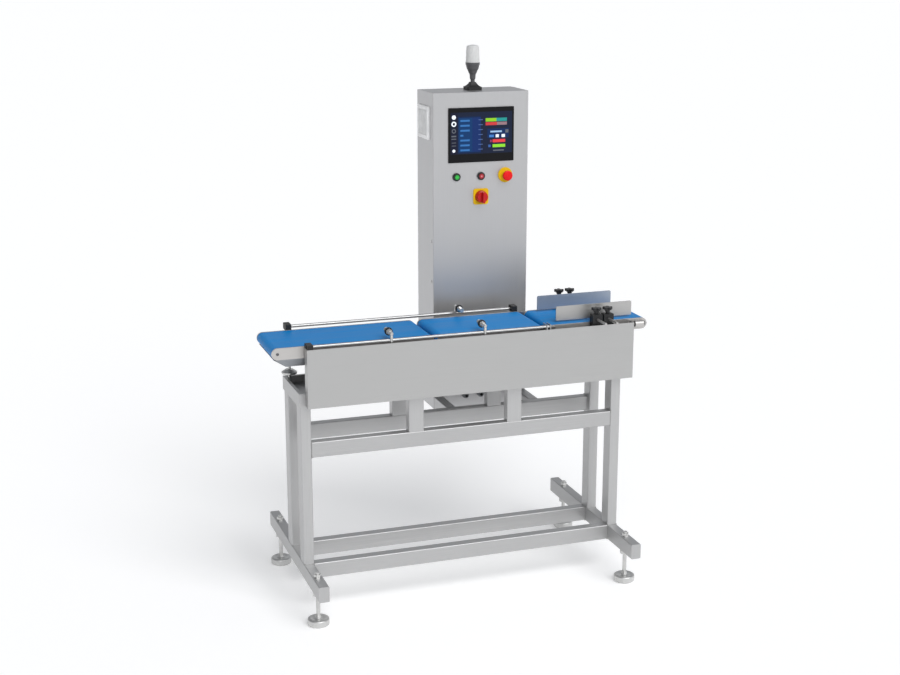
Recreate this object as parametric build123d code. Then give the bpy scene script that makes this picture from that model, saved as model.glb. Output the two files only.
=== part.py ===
from build123d import *
from math import cos, pi, radians, sin
import os

# Checkweigher: a welded tube stand on levelling feet carries a sheet tray with three belt conveyors
# in line (infeed, weighing, outfeed), and two arms that hold a tall control cabinet behind them.
# Millimetres. X runs along the belts, Y from the front to the back, Z up from the floor.

# Stand
TUBE_WIDE = 60.0
TUBE_NARROW = 40.0
TUBE_WALL = 2.0
TUBE_ROUND = 4.0
STAND_WIDTH = 1296.0
BAR_LENGTH = 820.0
BAR_BOTTOM = 130.0
FRAME_OFFSET = -55.0
MID_RAIL_TOP = 672.0
POST_SPACING = 398.0
END_PLATE = 2.0

# Levelling feet
FOOT_SPACING = 620.0
PAD_RADIUS = 41.0
PAD_HEIGHT = 28.0
PAD_EDGE_ROUND = 6.0
PAD_DISH = 2.0
PAD_HUB_RADIUS = 13.0
PAD_HUB_HEIGHT = 8.0
SPINDLE_RADIUS = 8.0
SPINDLE_ABOVE_NUT = 6.0
BOSS_RADIUS = 19.0
BOSS_HEIGHT = 13.0
NUT_ACROSS_FLATS = 24.0
NUT_HEIGHT = 12.0

# Tray on top of the stand
TRAY_TOP = 864.0
TRAY_HEIGHT = 52.0
TRAY_WALL = 3.0
TRAY_RIM = 12.0
TRAY_FLOOR_BELOW_RIM = 31.0
TRAY_FIT = 1.0

# Conveyors
BELT_TOP = 1043.5
BELT_WIDTH = 240.0
BELT_THICKNESS = 2.0
ROLLER_RADIUS = 19.7
ROLLER_CROWN = 0.3
ROLLER_LENGTH = 238.0
ROLLER_GAP = 0.3
AXLE_RADIUS = 6.0
AXLE_SOCKET_RADIUS = 3.0
AXLE_SOCKET_DEPTH = 12.0
SIDE_PLATE_HEIGHT = 44.0
SIDE_PLATE_THICKNESS = 6.0
BELT_EDGE_GAP = 4.0
BED_THICKNESS = 3.0
BED_END_GAP = 6.0
TIE_RADIUS = 8.0
TIE_INSET = 60.0
INFEED_LENGTH = 579.0
WEIGH_LENGTH = 393.0
OUTFEED_LENGTH = 374.0
TRANSFER_GAP = 12.0
INFEED_AXIS_X = -727.0

# Tapered pans under the conveyors
PAN_DEPTH = 32.0
PAN_SIDE_TAPER = 18.0
PAN_END_TAPER = 47.0
PAN_OVERHANG = 14.0
OUTFEED_PAN_CUT = 75.0
PAN_WALL = 2.0

# Conveyor jack screws on the tray, and the load cell
JACK_RADIUS = 6.0
JACK_DISC_RADIUS = 30.0
JACK_DISC_HEIGHT = 18.0
JACK_DISC_LIFT = 16.0
JACK_FROM_RIM = 7.0
FRONT_JACK_INSET = 56.0
RIGHT_JACK_INSET = 40.0
JACK_SPREAD_Y = 200.0
JACK_SPREAD_X = 440.0
CELL_LENGTH = 150.0
CELL_WIDTH = 40.0
CELL_HEIGHT = 36.0
CELL_GAUGE_RADIUS = 11.0
CELL_PLATE = 8.0
CELL_SPACER = 24.0

# Front cover
COVER_LEFT = -628.0
COVER_RIGHT = 677.0
COVER_BELOW_BELT = 4.5
COVER_BELOW_TRAY = 48.0
COVER_STAND_OFF = 41.0
COVER_SHEET = 2.0

# Sensor rods beside the belts, with their end blocks and stays
ROD_RADIUS = 6.0
ROD_FROM_PLATE = 33.0
ROD_ABOVE_BELT = 5.0
ROD_LEFT = -630.0
ROD_RIGHT = 300.0
BLOCK_LENGTH = 22.0
BLOCK_HEIGHT = 30.0
FRONT_BLOCK_HEIGHT = 16.0
FRONT_BLOCK_SHIFT = 9.0
BLOCK_BEYOND_ROD = 13.0
BLOCK_TONGUE = 3.5
EAR_THICKNESS = 4.0
EAR_PITCH = 14.0
STAY_THICKNESS = 5.0
STAY_GAP = 2.0
STAY_LENGTH = 62.0

# Round sensors in ring brackets
SENSOR_RADIUS = 9.0
SENSOR_LENGTH = 58.0
SENSOR_REACH = 30.0
SENSOR_ABOVE_BELT = 30.0
RING_RADIUS = 15.0
RING_THICKNESS = 12.0
SENSOR_NUT_RADIUS = 12.0
SENSOR_NUT_THICKNESS = 4.0
PLUG_RADIUS = 6.5
PLUG_LEAD_RADIUS = 4.5
PLUG_PAST_ROD = 1.0
PLUG_ABOVE_COVER = 3.0
INFEED_SENSOR_X = -306.0
WEIGH_SENSOR_X = 62.0

# Side guides over the outfeed belt
GUIDE_LEFT = 380.0
GUIDE_RIGHT = 700.0
GUIDE_HEIGHT = 56.0
GUIDE_THICKNESS = 4.0
GUIDE_ABOVE_BELT = 8.0
GUIDE_HALF_GAP = 94.0
GUIDE_ROD_RADIUS = 5.0
GUIDE_ROD_ABOVE_BELT = 14.0
GUIDE_ROD_LENGTH = 139.0
GUIDE_ROD_PITCH = 47.0
FRONT_ROD_X = 529.0
REAR_ROD_X = 518.0
CLAMP_LENGTH = 41.0
CLAMP_DEPTH = 30.0
CLAMP_BELOW_BELT = 28.0
CLAMP_ABOVE_BELT = 34.0
REAR_STAND_OFF = 55.0
STAND_OFF_RADIUS = 8.0
KNOB_RADIUS = 20.0
KNOB_LOBES = 5
KNOB_THICKNESS = 10.0
KNOB_HUB_RADIUS = 10.0
KNOB_HUB_HEIGHT = 8.0
KNOB_COLLAR_RADIUS = 7.0
KNOB_COLLAR_HEIGHT = 7.0
KNOB_SCREW_RADIUS = 4.0

# Belt tensioners at the outfeed end
TENSIONER_RADIUS = 13.0
TENSIONER_LENGTH = 38.0
TENSIONER_BACK = 38.0
TENSIONER_FROM_PLATE = 16.0
TENSIONER_ABOVE_AXIS = 4.0
TENSIONER_LUG = 16.0
TENSION_SCREW_RADIUS = 4.0
TENSION_SCREW_REACH = 9.0
TENSION_SCREW_POINT = 7.0

# Cabinet arms and cabinet
ARM_INSET = 2.0
CABINET_X = 206.0
CABINET_WIDTH = 400.0
CABINET_DEPTH = 200.0
CABINET_BELOW_RAIL = 50.0
CABINET_HEIGHT = 1280.0
CABINET_FRONT_FROM_FRAME = 150.0
CABINET_SHEET = 2.0
CABINET_ROUND = 3.0
DOOR_DEPTH = 20.0
DOOR_GAP = 0.6
FLANGE_WIDTH = 16.0
HINGE_RADIUS = 5.0
HINGE_PIN_RADIUS = 3.0
HINGE_LENGTH = 60.0
HINGE_SIDE_OFFSET = 6.0
HINGE_FROM_END = 180.0
HINGE_LEAF = 2.0
HINGE_LEAF_WIDTH = 24.0
LOCK_RADIUS = 8.0
LOCK_HEAD_RADIUS = 13.0
LOCK_HEAD_HEIGHT = 5.0
LOCK_FROM_EDGE = 34.0
LOCK_CAM_LENGTH = 26.0
LOCK_CAM_WIDTH = 14.0
LOCK_CAM_THICKNESS = 3.0

# Operator panel
SCREEN_BELOW_TOP = 167.0
BEZEL_WIDTH = 274.0
BEZEL_HEIGHT = 215.0
BEZEL_PROUD = 6.0
BEZEL_ROUND = 2.5
HOUSING_MARGIN = 7.0
HOUSING_DEPTH = 36.0
DISPLAY_WIDTH = 258.0
DISPLAY_HEIGHT = 164.0
DISPLAY_UP = 8.0
DISPLAY_GLASS = 2.0
PANEL_FIT = 1.0
BUTTONS_BELOW_SCREEN = 164.0
BUTTON_SPACING = 103.0
BUTTON_CAP_RADIUS = 11.0
BUTTON_COLLAR_RADIUS = 16.0
BUTTON_COLLAR_HEIGHT = 8.0
BUTTON_CAP_PROUD = 3.0
BUTTON_BARREL_RADIUS = 12.5
BUTTON_BARREL_LENGTH = 30.0
BUTTON_TRAVEL = 4.0
STOP_RING_RADIUS = 30.0
STOP_RING_HEIGHT = 4.0
STOP_COLLAR_RADIUS = 15.0
STOP_COLLAR_HEIGHT = 14.0
STOP_HEAD_RADIUS = 20.0
STOP_HEAD_HEIGHT = 14.0
STOP_STEM_RADIUS = 8.0
STOP_TRAVEL = 5.0
SWITCH_BELOW_BUTTONS = 82.0
SWITCH_PLATE_SIZE = 64.0
SWITCH_PLATE_THICKNESS = 3.0
SWITCH_KNOB_RADIUS = 25.0
SWITCH_KNOB_HEIGHT = 24.0
SWITCH_GRIP_WIDTH = 12.0
SWITCH_GRIP_HEIGHT = 17.0
SWITCH_SHAFT_RADIUS = 5.0
CONTACT_BLOCK_SIZE = 30.0
CONTACT_BLOCK_DEPTH = 38.0

# Filter on the cabinet's left side
FILTER_SIZE = 130.0
FILTER_OPENING = 100.0
FILTER_PROUD = 8.0
FILTER_Y_FROM_FRONT = 108.0
FILTER_BELOW_TOP = 120.0
FILTER_RIBS = 17
FILTER_RIB_THICKNESS = 2.4
FILTER_MAT_THICKNESS = 6.0

# Cable glands and side screws
GLAND_ABOVE_BOTTOM = 49.0
GLAND_SPACING = 65.0
GLAND_RADIUS = 13.0
GLAND_LENGTH = 24.0
GLAND_BORE_RADIUS = 6.5
GLAND_THREAD_RADIUS = 10.0
GLAND_INSIDE = 12.0
SIDE_SCREWS_BELOW_TOP = (752.0, 589.0)
SIDE_SCREW_FROM_FRONT = 24.0
SIDE_SCREW_RADIUS = 5.0
SIDE_SCREW_HEIGHT = 2.5

# Inside the cabinet
PLATE_MARGIN = 40.0
PLATE_ABOVE_BOTTOM = 80.0
PLATE_HEIGHT = 700.0
PLATE_THICKNESS = 2.0
PLATE_STAND_OFF = 14.0
PLATE_POST_RADIUS = 6.0
RAIL_HEIGHT = 35.0
RAIL_DEPTH = 7.5
RAILS_ABOVE_BOTTOM = (160.0, 400.0, 660.0)
SUPPLY_SIZE = (60.0, 110.0, 100.0)
CONTROLLER_SIZE = (110.0, 95.0, 70.0)
RELAY_SIZE = (36.0, 80.0, 60.0)
DRIVE_SIZE = (52.0, 150.0, 110.0)
DRIVE_PITCH = 78.0
BREAKER_SIZE = (16.0, 62.0, 46.0)
BREAKER_PITCH = 18.0
BREAKERS = 12

# Signal beacon
BEACON_BASE = 60.0
BEACON_PLINTH = 13.0
BEACON_FLARE = 18.0
BEACON_BODY_HEIGHT = 77.0
BEACON_STEPS = ((0.0, 8.5), (0.12, 8.5), (0.16, 11.0), (0.4, 12.5), (0.44, 15.0), (0.62, 20.5), (0.66, 23.0),
                (0.86, 27.0), (0.9, 28.5), (1.0, 28.5))
LENS_RADIUS = 27.0
LENS_TOP_RADIUS = 24.5
LENS_HEIGHT = 69.0
LENS_WALL = 2.0
LENS_RIBS = 30
LENS_RIB_RADIUS = 1.0

# Clearances
RUNNING_FIT = 0.05
HOLE_CLEARANCE = 1.0
SEAT_GAP = 0.3
CUT = 1.0

# Levels and faces that follow from the sizes above
FRAME_DEPTH = BELT_WIDTH + 2 * (BELT_EDGE_GAP + SIDE_PLATE_THICKNESS)
ARM_SPACING = CABINET_WIDTH - 2 * ARM_INSET - TUBE_NARROW
COVER_TOP = BELT_TOP - COVER_BELOW_BELT
COVER_BOTTOM = TRAY_TOP - COVER_BELOW_TRAY
ROD_Z = BELT_TOP + ROD_ABOVE_BELT
SENSOR_Z = BELT_TOP + SENSOR_ABOVE_BELT
GUIDE_ROD_Z = BELT_TOP + GUIDE_ROD_ABOVE_BELT
CLAMP_BOTTOM = BELT_TOP - CLAMP_BELOW_BELT
CLAMP_TOP = BELT_TOP + CLAMP_ABOVE_BELT
CABINET_BOTTOM = MID_RAIL_TOP - CABINET_BELOW_RAIL
CABINET_TOP = CABINET_BOTTOM + CABINET_HEIGHT
SCREEN_Z = CABINET_TOP - SCREEN_BELOW_TOP
BUTTON_Z = SCREEN_Z - BUTTONS_BELOW_SCREEN
SWITCH_Z = BUTTON_Z - SWITCH_BELOW_BUTTONS
FILTER_Z = CABINET_TOP - FILTER_BELOW_TOP
GLAND_Z = CABINET_BOTTOM + GLAND_ABOVE_BOTTOM
PLATE_BOTTOM = CABINET_BOTTOM + PLATE_ABOVE_BOTTOM
PLATE_TOP = PLATE_BOTTOM + PLATE_HEIGHT
RAIL_LEVELS = [CABINET_BOTTOM + level for level in RAILS_ABOVE_BOTTOM]
BAR_TOP = BAR_BOTTOM + TUBE_WIDE
BAR_X = (STAND_WIDTH - TUBE_NARROW) / 2
FRAME_FRONT = FRAME_OFFSET - FRAME_DEPTH / 2
FRAME_REAR = FRAME_OFFSET + FRAME_DEPTH / 2
RAIL_END_X = STAND_WIDTH / 2 - TUBE_NARROW
TRAY_BOTTOM = TRAY_TOP - TRAY_HEIGHT
TRAY_FLOOR_TOP = TRAY_TOP - TRAY_FLOOR_BELOW_RIM
TRAY_FLOOR_BOTTOM = TRAY_FLOOR_TOP - TRAY_WALL
TRAY_HALF_X = STAND_WIDTH / 2 + TRAY_FIT + TRAY_WALL
TRAY_FRONT = FRAME_FRONT - TRAY_FIT - TRAY_WALL
TRAY_REAR = FRAME_REAR + TRAY_FIT + TRAY_WALL
BELT_INSIDE = ROLLER_RADIUS + ROLLER_GAP
BELT_OUTSIDE = BELT_INSIDE + BELT_THICKNESS
AXIS_Z = BELT_TOP - BELT_OUTSIDE
PLATE_INNER = BELT_WIDTH / 2 + BELT_EDGE_GAP
PLATE_OUTER = PLATE_INNER + SIDE_PLATE_THICKNESS
PLATE_FRONT_Y = FRAME_OFFSET - PLATE_OUTER
PLATE_REAR_Y = FRAME_OFFSET + PLATE_OUTER
PAN_TOP = AXIS_Z - SIDE_PLATE_HEIGHT / 2
PAN_BOTTOM = PAN_TOP - PAN_DEPTH
NOSE_STEP = 2 * BELT_OUTSIDE + TRANSFER_GAP
WEIGH_AXIS_X = INFEED_AXIS_X + INFEED_LENGTH + NOSE_STEP
OUTFEED_AXIS_X = WEIGH_AXIS_X + WEIGH_LENGTH + NOSE_STEP
ROD_FRONT_Y = PLATE_FRONT_Y - ROD_FROM_PLATE
ROD_REAR_Y = PLATE_REAR_Y + ROD_FROM_PLATE
CABINET_FRONT = FRAME_REAR + CABINET_FRONT_FROM_FRAME
CABINET_REAR = CABINET_FRONT + CABINET_DEPTH
CABINET_LEFT = CABINET_X - CABINET_WIDTH / 2
CABINET_RIGHT = CABINET_X + CABINET_WIDTH / 2
SHELL_REAR = CABINET_REAR - DOOR_DEPTH - DOOR_GAP
INSIDE_FRONT = CABINET_FRONT + CABINET_SHEET
HINGE_X = CABINET_RIGHT + HINGE_SIDE_OFFSET
HINGE_Y = SHELL_REAR + DOOR_GAP + HINGE_RADIUS + DOOR_GAP

# The origin lies on the floor under the middle of the whole outline.
LEFT_END = INFEED_AXIS_X - BELT_OUTSIDE
RIGHT_END = OUTFEED_AXIS_X + OUTFEED_LENGTH + BELT_OUTSIDE
FRONT_END = -BAR_LENGTH / 2
REAR_END = CABINET_REAR + LOCK_HEAD_HEIGHT
ORIGIN_X = (LEFT_END + RIGHT_END) / 2
ORIGIN_Y = (FRONT_END + REAR_END) / 2


def box(x0, x1, y0, y1, z0, z1):
    """A block between two corners."""
    middle = ((x0 + x1) / 2, (y0 + y1) / 2, (z0 + z1) / 2)
    return Pos(*middle) * Box(x1 - x0, y1 - y0, z1 - z0)


def section_plane(axis, x, y, z):
    """A plane at a point, facing along the named axis."""
    facing = {"X": ((0, 1, 0), (1, 0, 0)), "Y": ((1, 0, 0), (0, 1, 0)), "Z": ((1, 0, 0), (0, 0, 1))}
    along, normal = facing[axis]
    return Plane((x, y, z), x_dir=along, z_dir=normal)


def bar(axis, x, y, z, radius, length):
    """A round bar that starts at a point and runs along an axis; a negative length runs back."""
    return extrude(section_plane(axis, x, y, z) * Circle(radius), amount=length)


def tube(axis, x, y, z, size_a, size_b, length):
    """A hollow rectangular tube that starts at a point and runs along an axis."""
    outer = RectangleRounded(size_a, size_b, TUBE_ROUND)
    inner = RectangleRounded(size_a - 2 * TUBE_WALL, size_b - 2 * TUBE_WALL, TUBE_ROUND - TUBE_WALL)
    return extrude(section_plane(axis, x, y, z) * (outer - inner), amount=length)


def turned(points, axis=Axis.Z):
    """A solid of revolution about Z from a closed outline of radius and height pairs."""
    outline = Polyline(*[(radius, 0, height) for radius, height in points], close=True)
    return revolve(make_face(outline), axis=axis)


def hexagon_bar(x, y, z, across_flats, height):
    """An upright hexagonal bar."""
    return extrude(section_plane("Z", x, y, z) * RegularPolygon(across_flats / 2, 6, major_radius=False),
                   amount=height)


def facing_front(shape, x, y, z):
    """Turn a shape that was made pointing up so that it points to the front, and place it."""
    return Pos(x, y, z) * Rot(90, 0, 0) * shape


# Stand


def foot_bars():
    """Two bars on the floor side, each closed by an end plate at both ends."""
    solids = []
    for side in (-1, 1):
        x = side * BAR_X
        start = -BAR_LENGTH / 2 + END_PLATE
        body = tube("Y", x, start, BAR_BOTTOM + TUBE_WIDE / 2, TUBE_NARROW, TUBE_WIDE, BAR_LENGTH - 2 * END_PLATE)
        for end in (-1, 1):
            y = end * FOOT_SPACING / 2
            body -= bar("Z", x, y, BAR_BOTTOM - CUT, SPINDLE_RADIUS + HOLE_CLEARANCE, TUBE_WIDE + 2 * CUT)
        solids.append(body)
        for face in (-BAR_LENGTH / 2, BAR_LENGTH / 2 - END_PLATE):
            cap = RectangleRounded(TUBE_NARROW, TUBE_WIDE, TUBE_ROUND)
            solids.append(extrude(section_plane("Y", x, face, BAR_BOTTOM + TUBE_WIDE / 2) * cap, amount=END_PLATE))
    return solids


def uprights():
    """Four corner tubes between the foot bars and the tray floor."""
    solids = []
    for side in (-1, 1):
        for y in (FRAME_FRONT + TUBE_WIDE / 2, FRAME_REAR - TUBE_WIDE / 2):
            solids.append(tube("Z", side * BAR_X, y, BAR_TOP, TUBE_NARROW, TUBE_WIDE, TRAY_FLOOR_BOTTOM - BAR_TOP))
    return solids


def cross_rails():
    """Front and rear rails, low between the foot bars and at mid height between the uprights."""
    solids = []
    for y in (FRAME_FRONT + TUBE_NARROW / 2, FRAME_REAR - TUBE_NARROW / 2):
        for bottom in (BAR_BOTTOM, MID_RAIL_TOP - TUBE_WIDE):
            z = bottom + TUBE_WIDE / 2
            solids.append(tube("X", -RAIL_END_X, y, z, TUBE_NARROW, TUBE_WIDE, 2 * RAIL_END_X))
    return solids


def short_posts():
    """Four posts from the middle rails up to the tray floor."""
    solids = []
    for side in (-1, 1):
        for y in (FRAME_FRONT + TUBE_NARROW / 2, FRAME_REAR - TUBE_NARROW / 2):
            x = side * POST_SPACING / 2
            height = TRAY_FLOOR_BOTTOM - MID_RAIL_TOP
            solids.append(tube("Z", x, y, MID_RAIL_TOP, TUBE_WIDE, TUBE_NARROW, height))
    return solids


def cabinet_arms():
    """Two tubes from the rear middle rail to the cabinet's front face."""
    solids = []
    for side in (-1, 1):
        x = CABINET_X + side * ARM_SPACING / 2
        z = MID_RAIL_TOP - TUBE_WIDE / 2
        solids.append(tube("Y", x, FRAME_REAR, z, TUBE_NARROW, TUBE_WIDE, CABINET_FRONT_FROM_FRAME))
    return solids


def top_tray():
    """A sheet tray: a floor on the posts, and a wall around it with a rim folded inward."""
    tray = box(-TRAY_HALF_X, TRAY_HALF_X, TRAY_FRONT, TRAY_REAR, TRAY_BOTTOM, TRAY_TOP)
    x = TRAY_HALF_X - TRAY_WALL
    front = TRAY_FRONT + TRAY_WALL
    rear = TRAY_REAR - TRAY_WALL
    tray -= box(-x, x, front, rear, TRAY_BOTTOM - CUT, TRAY_FLOOR_BOTTOM)
    tray -= box(-x, x, front, rear, TRAY_FLOOR_TOP, TRAY_TOP - TRAY_WALL)
    x = TRAY_HALF_X - TRAY_RIM
    tray -= box(-x, x, TRAY_FRONT + TRAY_RIM, TRAY_REAR - TRAY_RIM, TRAY_TOP - 2 * TRAY_WALL, TRAY_TOP + CUT)
    return [tray]


def foot_places():
    """The four feet: name, x and y."""
    places = []
    for depth, y in (("front", -FOOT_SPACING / 2), ("rear", FOOT_SPACING / 2)):
        for side, x in (("left", -BAR_X), ("right", BAR_X)):
            places.append((depth + "_" + side, x, y))
    return places


def foot_nuts():
    """A welded boss under the bar and a lock nut on top of it at each foot."""
    solids = []
    for _, x, y in foot_places():
        bore = bar("Z", x, y, 0, SPINDLE_RADIUS + RUNNING_FIT, BAR_TOP + 2 * NUT_HEIGHT)
        boss = bar("Z", x, y, BAR_BOTTOM - BOSS_HEIGHT, BOSS_RADIUS, BOSS_HEIGHT)
        solids.append(boss - bore)
        solids.append(hexagon_bar(x, y, BAR_TOP, NUT_ACROSS_FLATS, NUT_HEIGHT) - bore)
    return solids


def levelling_foot(x, y):
    """A thick round pad with a dished top and a hub, and a threaded spindle that rises through the bar."""
    wall = PAD_HEIGHT - PAD_EDGE_ROUND
    lip = PAD_RADIUS - 1.6 * PAD_EDGE_ROUND
    dish = PAD_HEIGHT - PAD_DISH
    hub = dish + PAD_HUB_HEIGHT
    profile = make_face(
        Polyline((0, 0, 0), (PAD_RADIUS - 4, 0, 0), (PAD_RADIUS, 0, 4), (PAD_RADIUS, 0, wall))
        + Spline((PAD_RADIUS, 0, wall), (PAD_RADIUS - 0.45 * PAD_EDGE_ROUND, 0, PAD_HEIGHT - 0.3 * PAD_EDGE_ROUND),
                 (lip, 0, PAD_HEIGHT), tangents=[(0, 0, 1), (-1, 0, 0)])
        + Polyline((lip, 0, PAD_HEIGHT), (PAD_HUB_RADIUS + 6, 0, dish), (PAD_HUB_RADIUS, 0, dish + 2),
                   (PAD_HUB_RADIUS - 2, 0, hub), (0, 0, hub), (0, 0, 0))
    )
    pad = Pos(x, y, 0) * revolve(profile, axis=Axis.Z)
    top = BAR_TOP + NUT_HEIGHT + SPINDLE_ABOVE_NUT
    spindle = bar("Z", x, y, hub, SPINDLE_RADIUS, top - hub)
    spindle += hexagon_bar(x, y, hub, 0.8 * NUT_ACROSS_FLATS, 0.6 * NUT_HEIGHT)
    return [pad, spindle]


# Conveyors


def belt_shape(start, length, radius, width):
    """A flat loop with round ends about two roller axes, as a solid across the belt's width."""
    middle = (start + length / 2, FRAME_OFFSET + width / 2, AXIS_Z)
    plane = Plane(middle, x_dir=(1, 0, 0), z_dir=(0, -1, 0))
    return extrude(plane * SlotCenterToCenter(length, 2 * radius), amount=width)


def conveyor_belt(start, length):
    """An endless belt around both rollers."""
    outside = belt_shape(start, length, BELT_OUTSIDE, BELT_WIDTH)
    inside = belt_shape(start, length, BELT_INSIDE, BELT_WIDTH + 2 * CUT)
    return [outside - inside]


def side_plate(start, length, y):
    """A round-ended plate, bored for the two axles; y is its front face."""
    middle = (start + length / 2, y + SIDE_PLATE_THICKNESS, AXIS_Z)
    plane = Plane(middle, x_dir=(1, 0, 0), z_dir=(0, -1, 0))
    outline = SlotCenterToCenter(length, SIDE_PLATE_HEIGHT)
    for x in (-length / 2, length / 2):
        outline -= Pos(x, 0) * Circle(AXLE_RADIUS + RUNNING_FIT)
    return extrude(plane * outline, amount=SIDE_PLATE_THICKNESS)


def conveyor_frame(start, length):
    """Two side plates, the slider bed under the carrying run, and tie bars between the plates."""
    solids = [side_plate(start, length, PLATE_FRONT_Y), side_plate(start, length, PLATE_REAR_Y - SIDE_PLATE_THICKNESS)]
    front = FRAME_OFFSET - PLATE_INNER
    rear = FRAME_OFFSET + PLATE_INNER
    end_gap = ROLLER_RADIUS + BED_END_GAP
    bed_top = BELT_TOP - BELT_THICKNESS
    solids.append(box(start + end_gap, start + length - end_gap, front, rear, bed_top - BED_THICKNESS, bed_top))
    for x in (start + TIE_INSET, start + length / 2, start + length - TIE_INSET):
        solids.append(bar("Y", x, front, AXIS_Z, TIE_RADIUS, rear - front))
    return solids


def roller(x):
    """A crowned roller with a bore for its fixed axle."""
    half = ROLLER_LENGTH / 2
    end = ROLLER_RADIUS - ROLLER_CROWN
    bore = AXLE_RADIUS + RUNNING_FIT
    drum = turned([(bore, -half), (end, -half), (ROLLER_RADIUS, -half / 2), (ROLLER_RADIUS, half / 2), (end, half),
                   (bore, half)])
    return [facing_front(drum, x, FRAME_OFFSET, AXIS_Z)]


def roller_axles():
    """Six fixed axles across the conveyors, with a screw socket in each end."""
    solids = []
    for start, length in conveyors():
        for x in (start, start + length):
            axle = bar("Y", x, PLATE_FRONT_Y, AXIS_Z, AXLE_RADIUS, 2 * PLATE_OUTER)
            axle -= bar("Y", x, PLATE_FRONT_Y, AXIS_Z, AXLE_SOCKET_RADIUS, AXLE_SOCKET_DEPTH)
            axle -= bar("Y", x, PLATE_REAR_Y, AXIS_Z, AXLE_SOCKET_RADIUS, -AXLE_SOCKET_DEPTH)
            solids.append(axle)
    return solids


def conveyors():
    """Left axis and length between the axes of the three conveyors."""
    return ((INFEED_AXIS_X, INFEED_LENGTH), (WEIGH_AXIS_X, WEIGH_LENGTH), (OUTFEED_AXIS_X, OUTFEED_LENGTH))


def tapered_block(start, end, half_width, top, bottom, end_taper, side_taper):
    """A block that narrows downward by one taper at its ends and another at its sides."""
    middle = (start + end) / 2
    length = end - start
    upper = Pos(middle, FRAME_OFFSET, top) * Rectangle(length, 2 * half_width)
    lower = Pos(middle, FRAME_OFFSET, bottom) * Rectangle(length - 2 * end_taper, 2 * (half_width - side_taper))
    return loft([lower, upper])


def conveyor_pans():
    """An open pan with slanting walls under each conveyor, up against the side plates."""
    solids = []
    for start, length in conveyors():
        left = start - PAN_OVERHANG
        right = start + length + PAN_OVERHANG
        if start == OUTFEED_AXIS_X:
            right -= OUTFEED_PAN_CUT
        pan = tapered_block(left, right, PLATE_OUTER, PAN_TOP, PAN_BOTTOM, PAN_END_TAPER, PAN_SIDE_TAPER)
        share = (PAN_DEPTH - PAN_WALL) / PAN_DEPTH
        hollow = tapered_block(left + 1.4 * PAN_WALL, right - 1.4 * PAN_WALL, PLATE_OUTER - PAN_WALL, PAN_TOP,
                               PAN_BOTTOM + PAN_WALL, PAN_END_TAPER * share, PAN_SIDE_TAPER * share)
        solids.append(pan - hollow)
    return solids


def jack_places():
    """Where the jack screws of the infeed and outfeed conveyors stand."""
    edge = TRAY_HALF_X - TRAY_RIM - JACK_FROM_RIM
    outfeed_inner = OUTFEED_AXIS_X + TIE_INSET
    places = []
    for y in (FRAME_OFFSET - JACK_SPREAD_Y / 2, FRAME_OFFSET + JACK_SPREAD_Y / 2):
        left = -edge + FRONT_JACK_INSET if y < FRAME_OFFSET else -edge
        for x in (left, -edge + JACK_SPREAD_X, outfeed_inner, edge - RIGHT_JACK_INSET):
            places.append((x, y))
    return places


def conveyor_feet():
    """Jack screws between the tray floor and the pans, each with a wide disc above the rim."""
    solids = []
    for x, y in jack_places():
        screw = bar("Z", x, y, TRAY_FLOOR_TOP, JACK_RADIUS, PAN_BOTTOM - TRAY_FLOOR_TOP)
        base = TRAY_TOP + JACK_DISC_LIFT
        disc = turned([(0, 0), (JACK_DISC_RADIUS - 2, 0), (JACK_DISC_RADIUS, 2), (JACK_DISC_RADIUS, 8),
                       (0.5 * JACK_DISC_RADIUS, JACK_DISC_HEIGHT), (0, JACK_DISC_HEIGHT)])
        screw += Pos(x, y, base) * disc
        screw += hexagon_bar(x, y, PAN_BOTTOM - NUT_HEIGHT / 2, 3 * JACK_RADIUS, NUT_HEIGHT / 2)
        screw += hexagon_bar(x, y, TRAY_FLOOR_TOP, 3 * JACK_RADIUS, NUT_HEIGHT / 2)
        solids.append(screw)
    return solids


def weigh_cell():
    """Base plate, single-point load cell on a spacer, top plate, and four pillars up to the pan."""
    x = WEIGH_AXIS_X + WEIGH_LENGTH / 2
    y = FRAME_OFFSET
    half_x = 0.8 * CELL_LENGTH
    half_y = 2 * CELL_WIDTH
    level = TRAY_FLOOR_TOP
    base = box(x - half_x, x + half_x, y - half_y, y + half_y, level, level + CELL_PLATE)
    level += CELL_PLATE
    end = CELL_LENGTH / 3
    foot = box(x - CELL_LENGTH / 2, x - CELL_LENGTH / 2 + end, y - CELL_WIDTH / 2, y + CELL_WIDTH / 2,
               level, level + CELL_SPACER / 2)
    level += CELL_SPACER / 2
    cell = box(x - CELL_LENGTH / 2, x + CELL_LENGTH / 2, y - CELL_WIDTH / 2, y + CELL_WIDTH / 2,
               level, level + CELL_HEIGHT)
    for step in (-1, 1):
        cell -= bar("Y", x + 0.8 * step * CELL_GAUGE_RADIUS, y - CELL_WIDTH, level + CELL_HEIGHT / 2, CELL_GAUGE_RADIUS,
                    2 * CELL_WIDTH)
    level += CELL_HEIGHT
    head = box(x + CELL_LENGTH / 2 - end, x + CELL_LENGTH / 2, y - CELL_WIDTH / 2, y + CELL_WIDTH / 2,
               level, level + CELL_SPACER / 2)
    level += CELL_SPACER / 2
    top = box(x - half_x, x + half_x, y - half_y, y + half_y, level, level + CELL_PLATE)
    level += CELL_PLATE
    solids = [base, foot, cell, head, top]
    for step_x in (-1, 1):
        for step_y in (-1, 1):
            px = x + step_x * (half_x - 2 * JACK_RADIUS)
            py = y + step_y * (half_y - 2 * JACK_RADIUS)
            solids.append(bar("Z", px, py, level, JACK_RADIUS, PAN_BOTTOM - level))
    return solids


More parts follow.
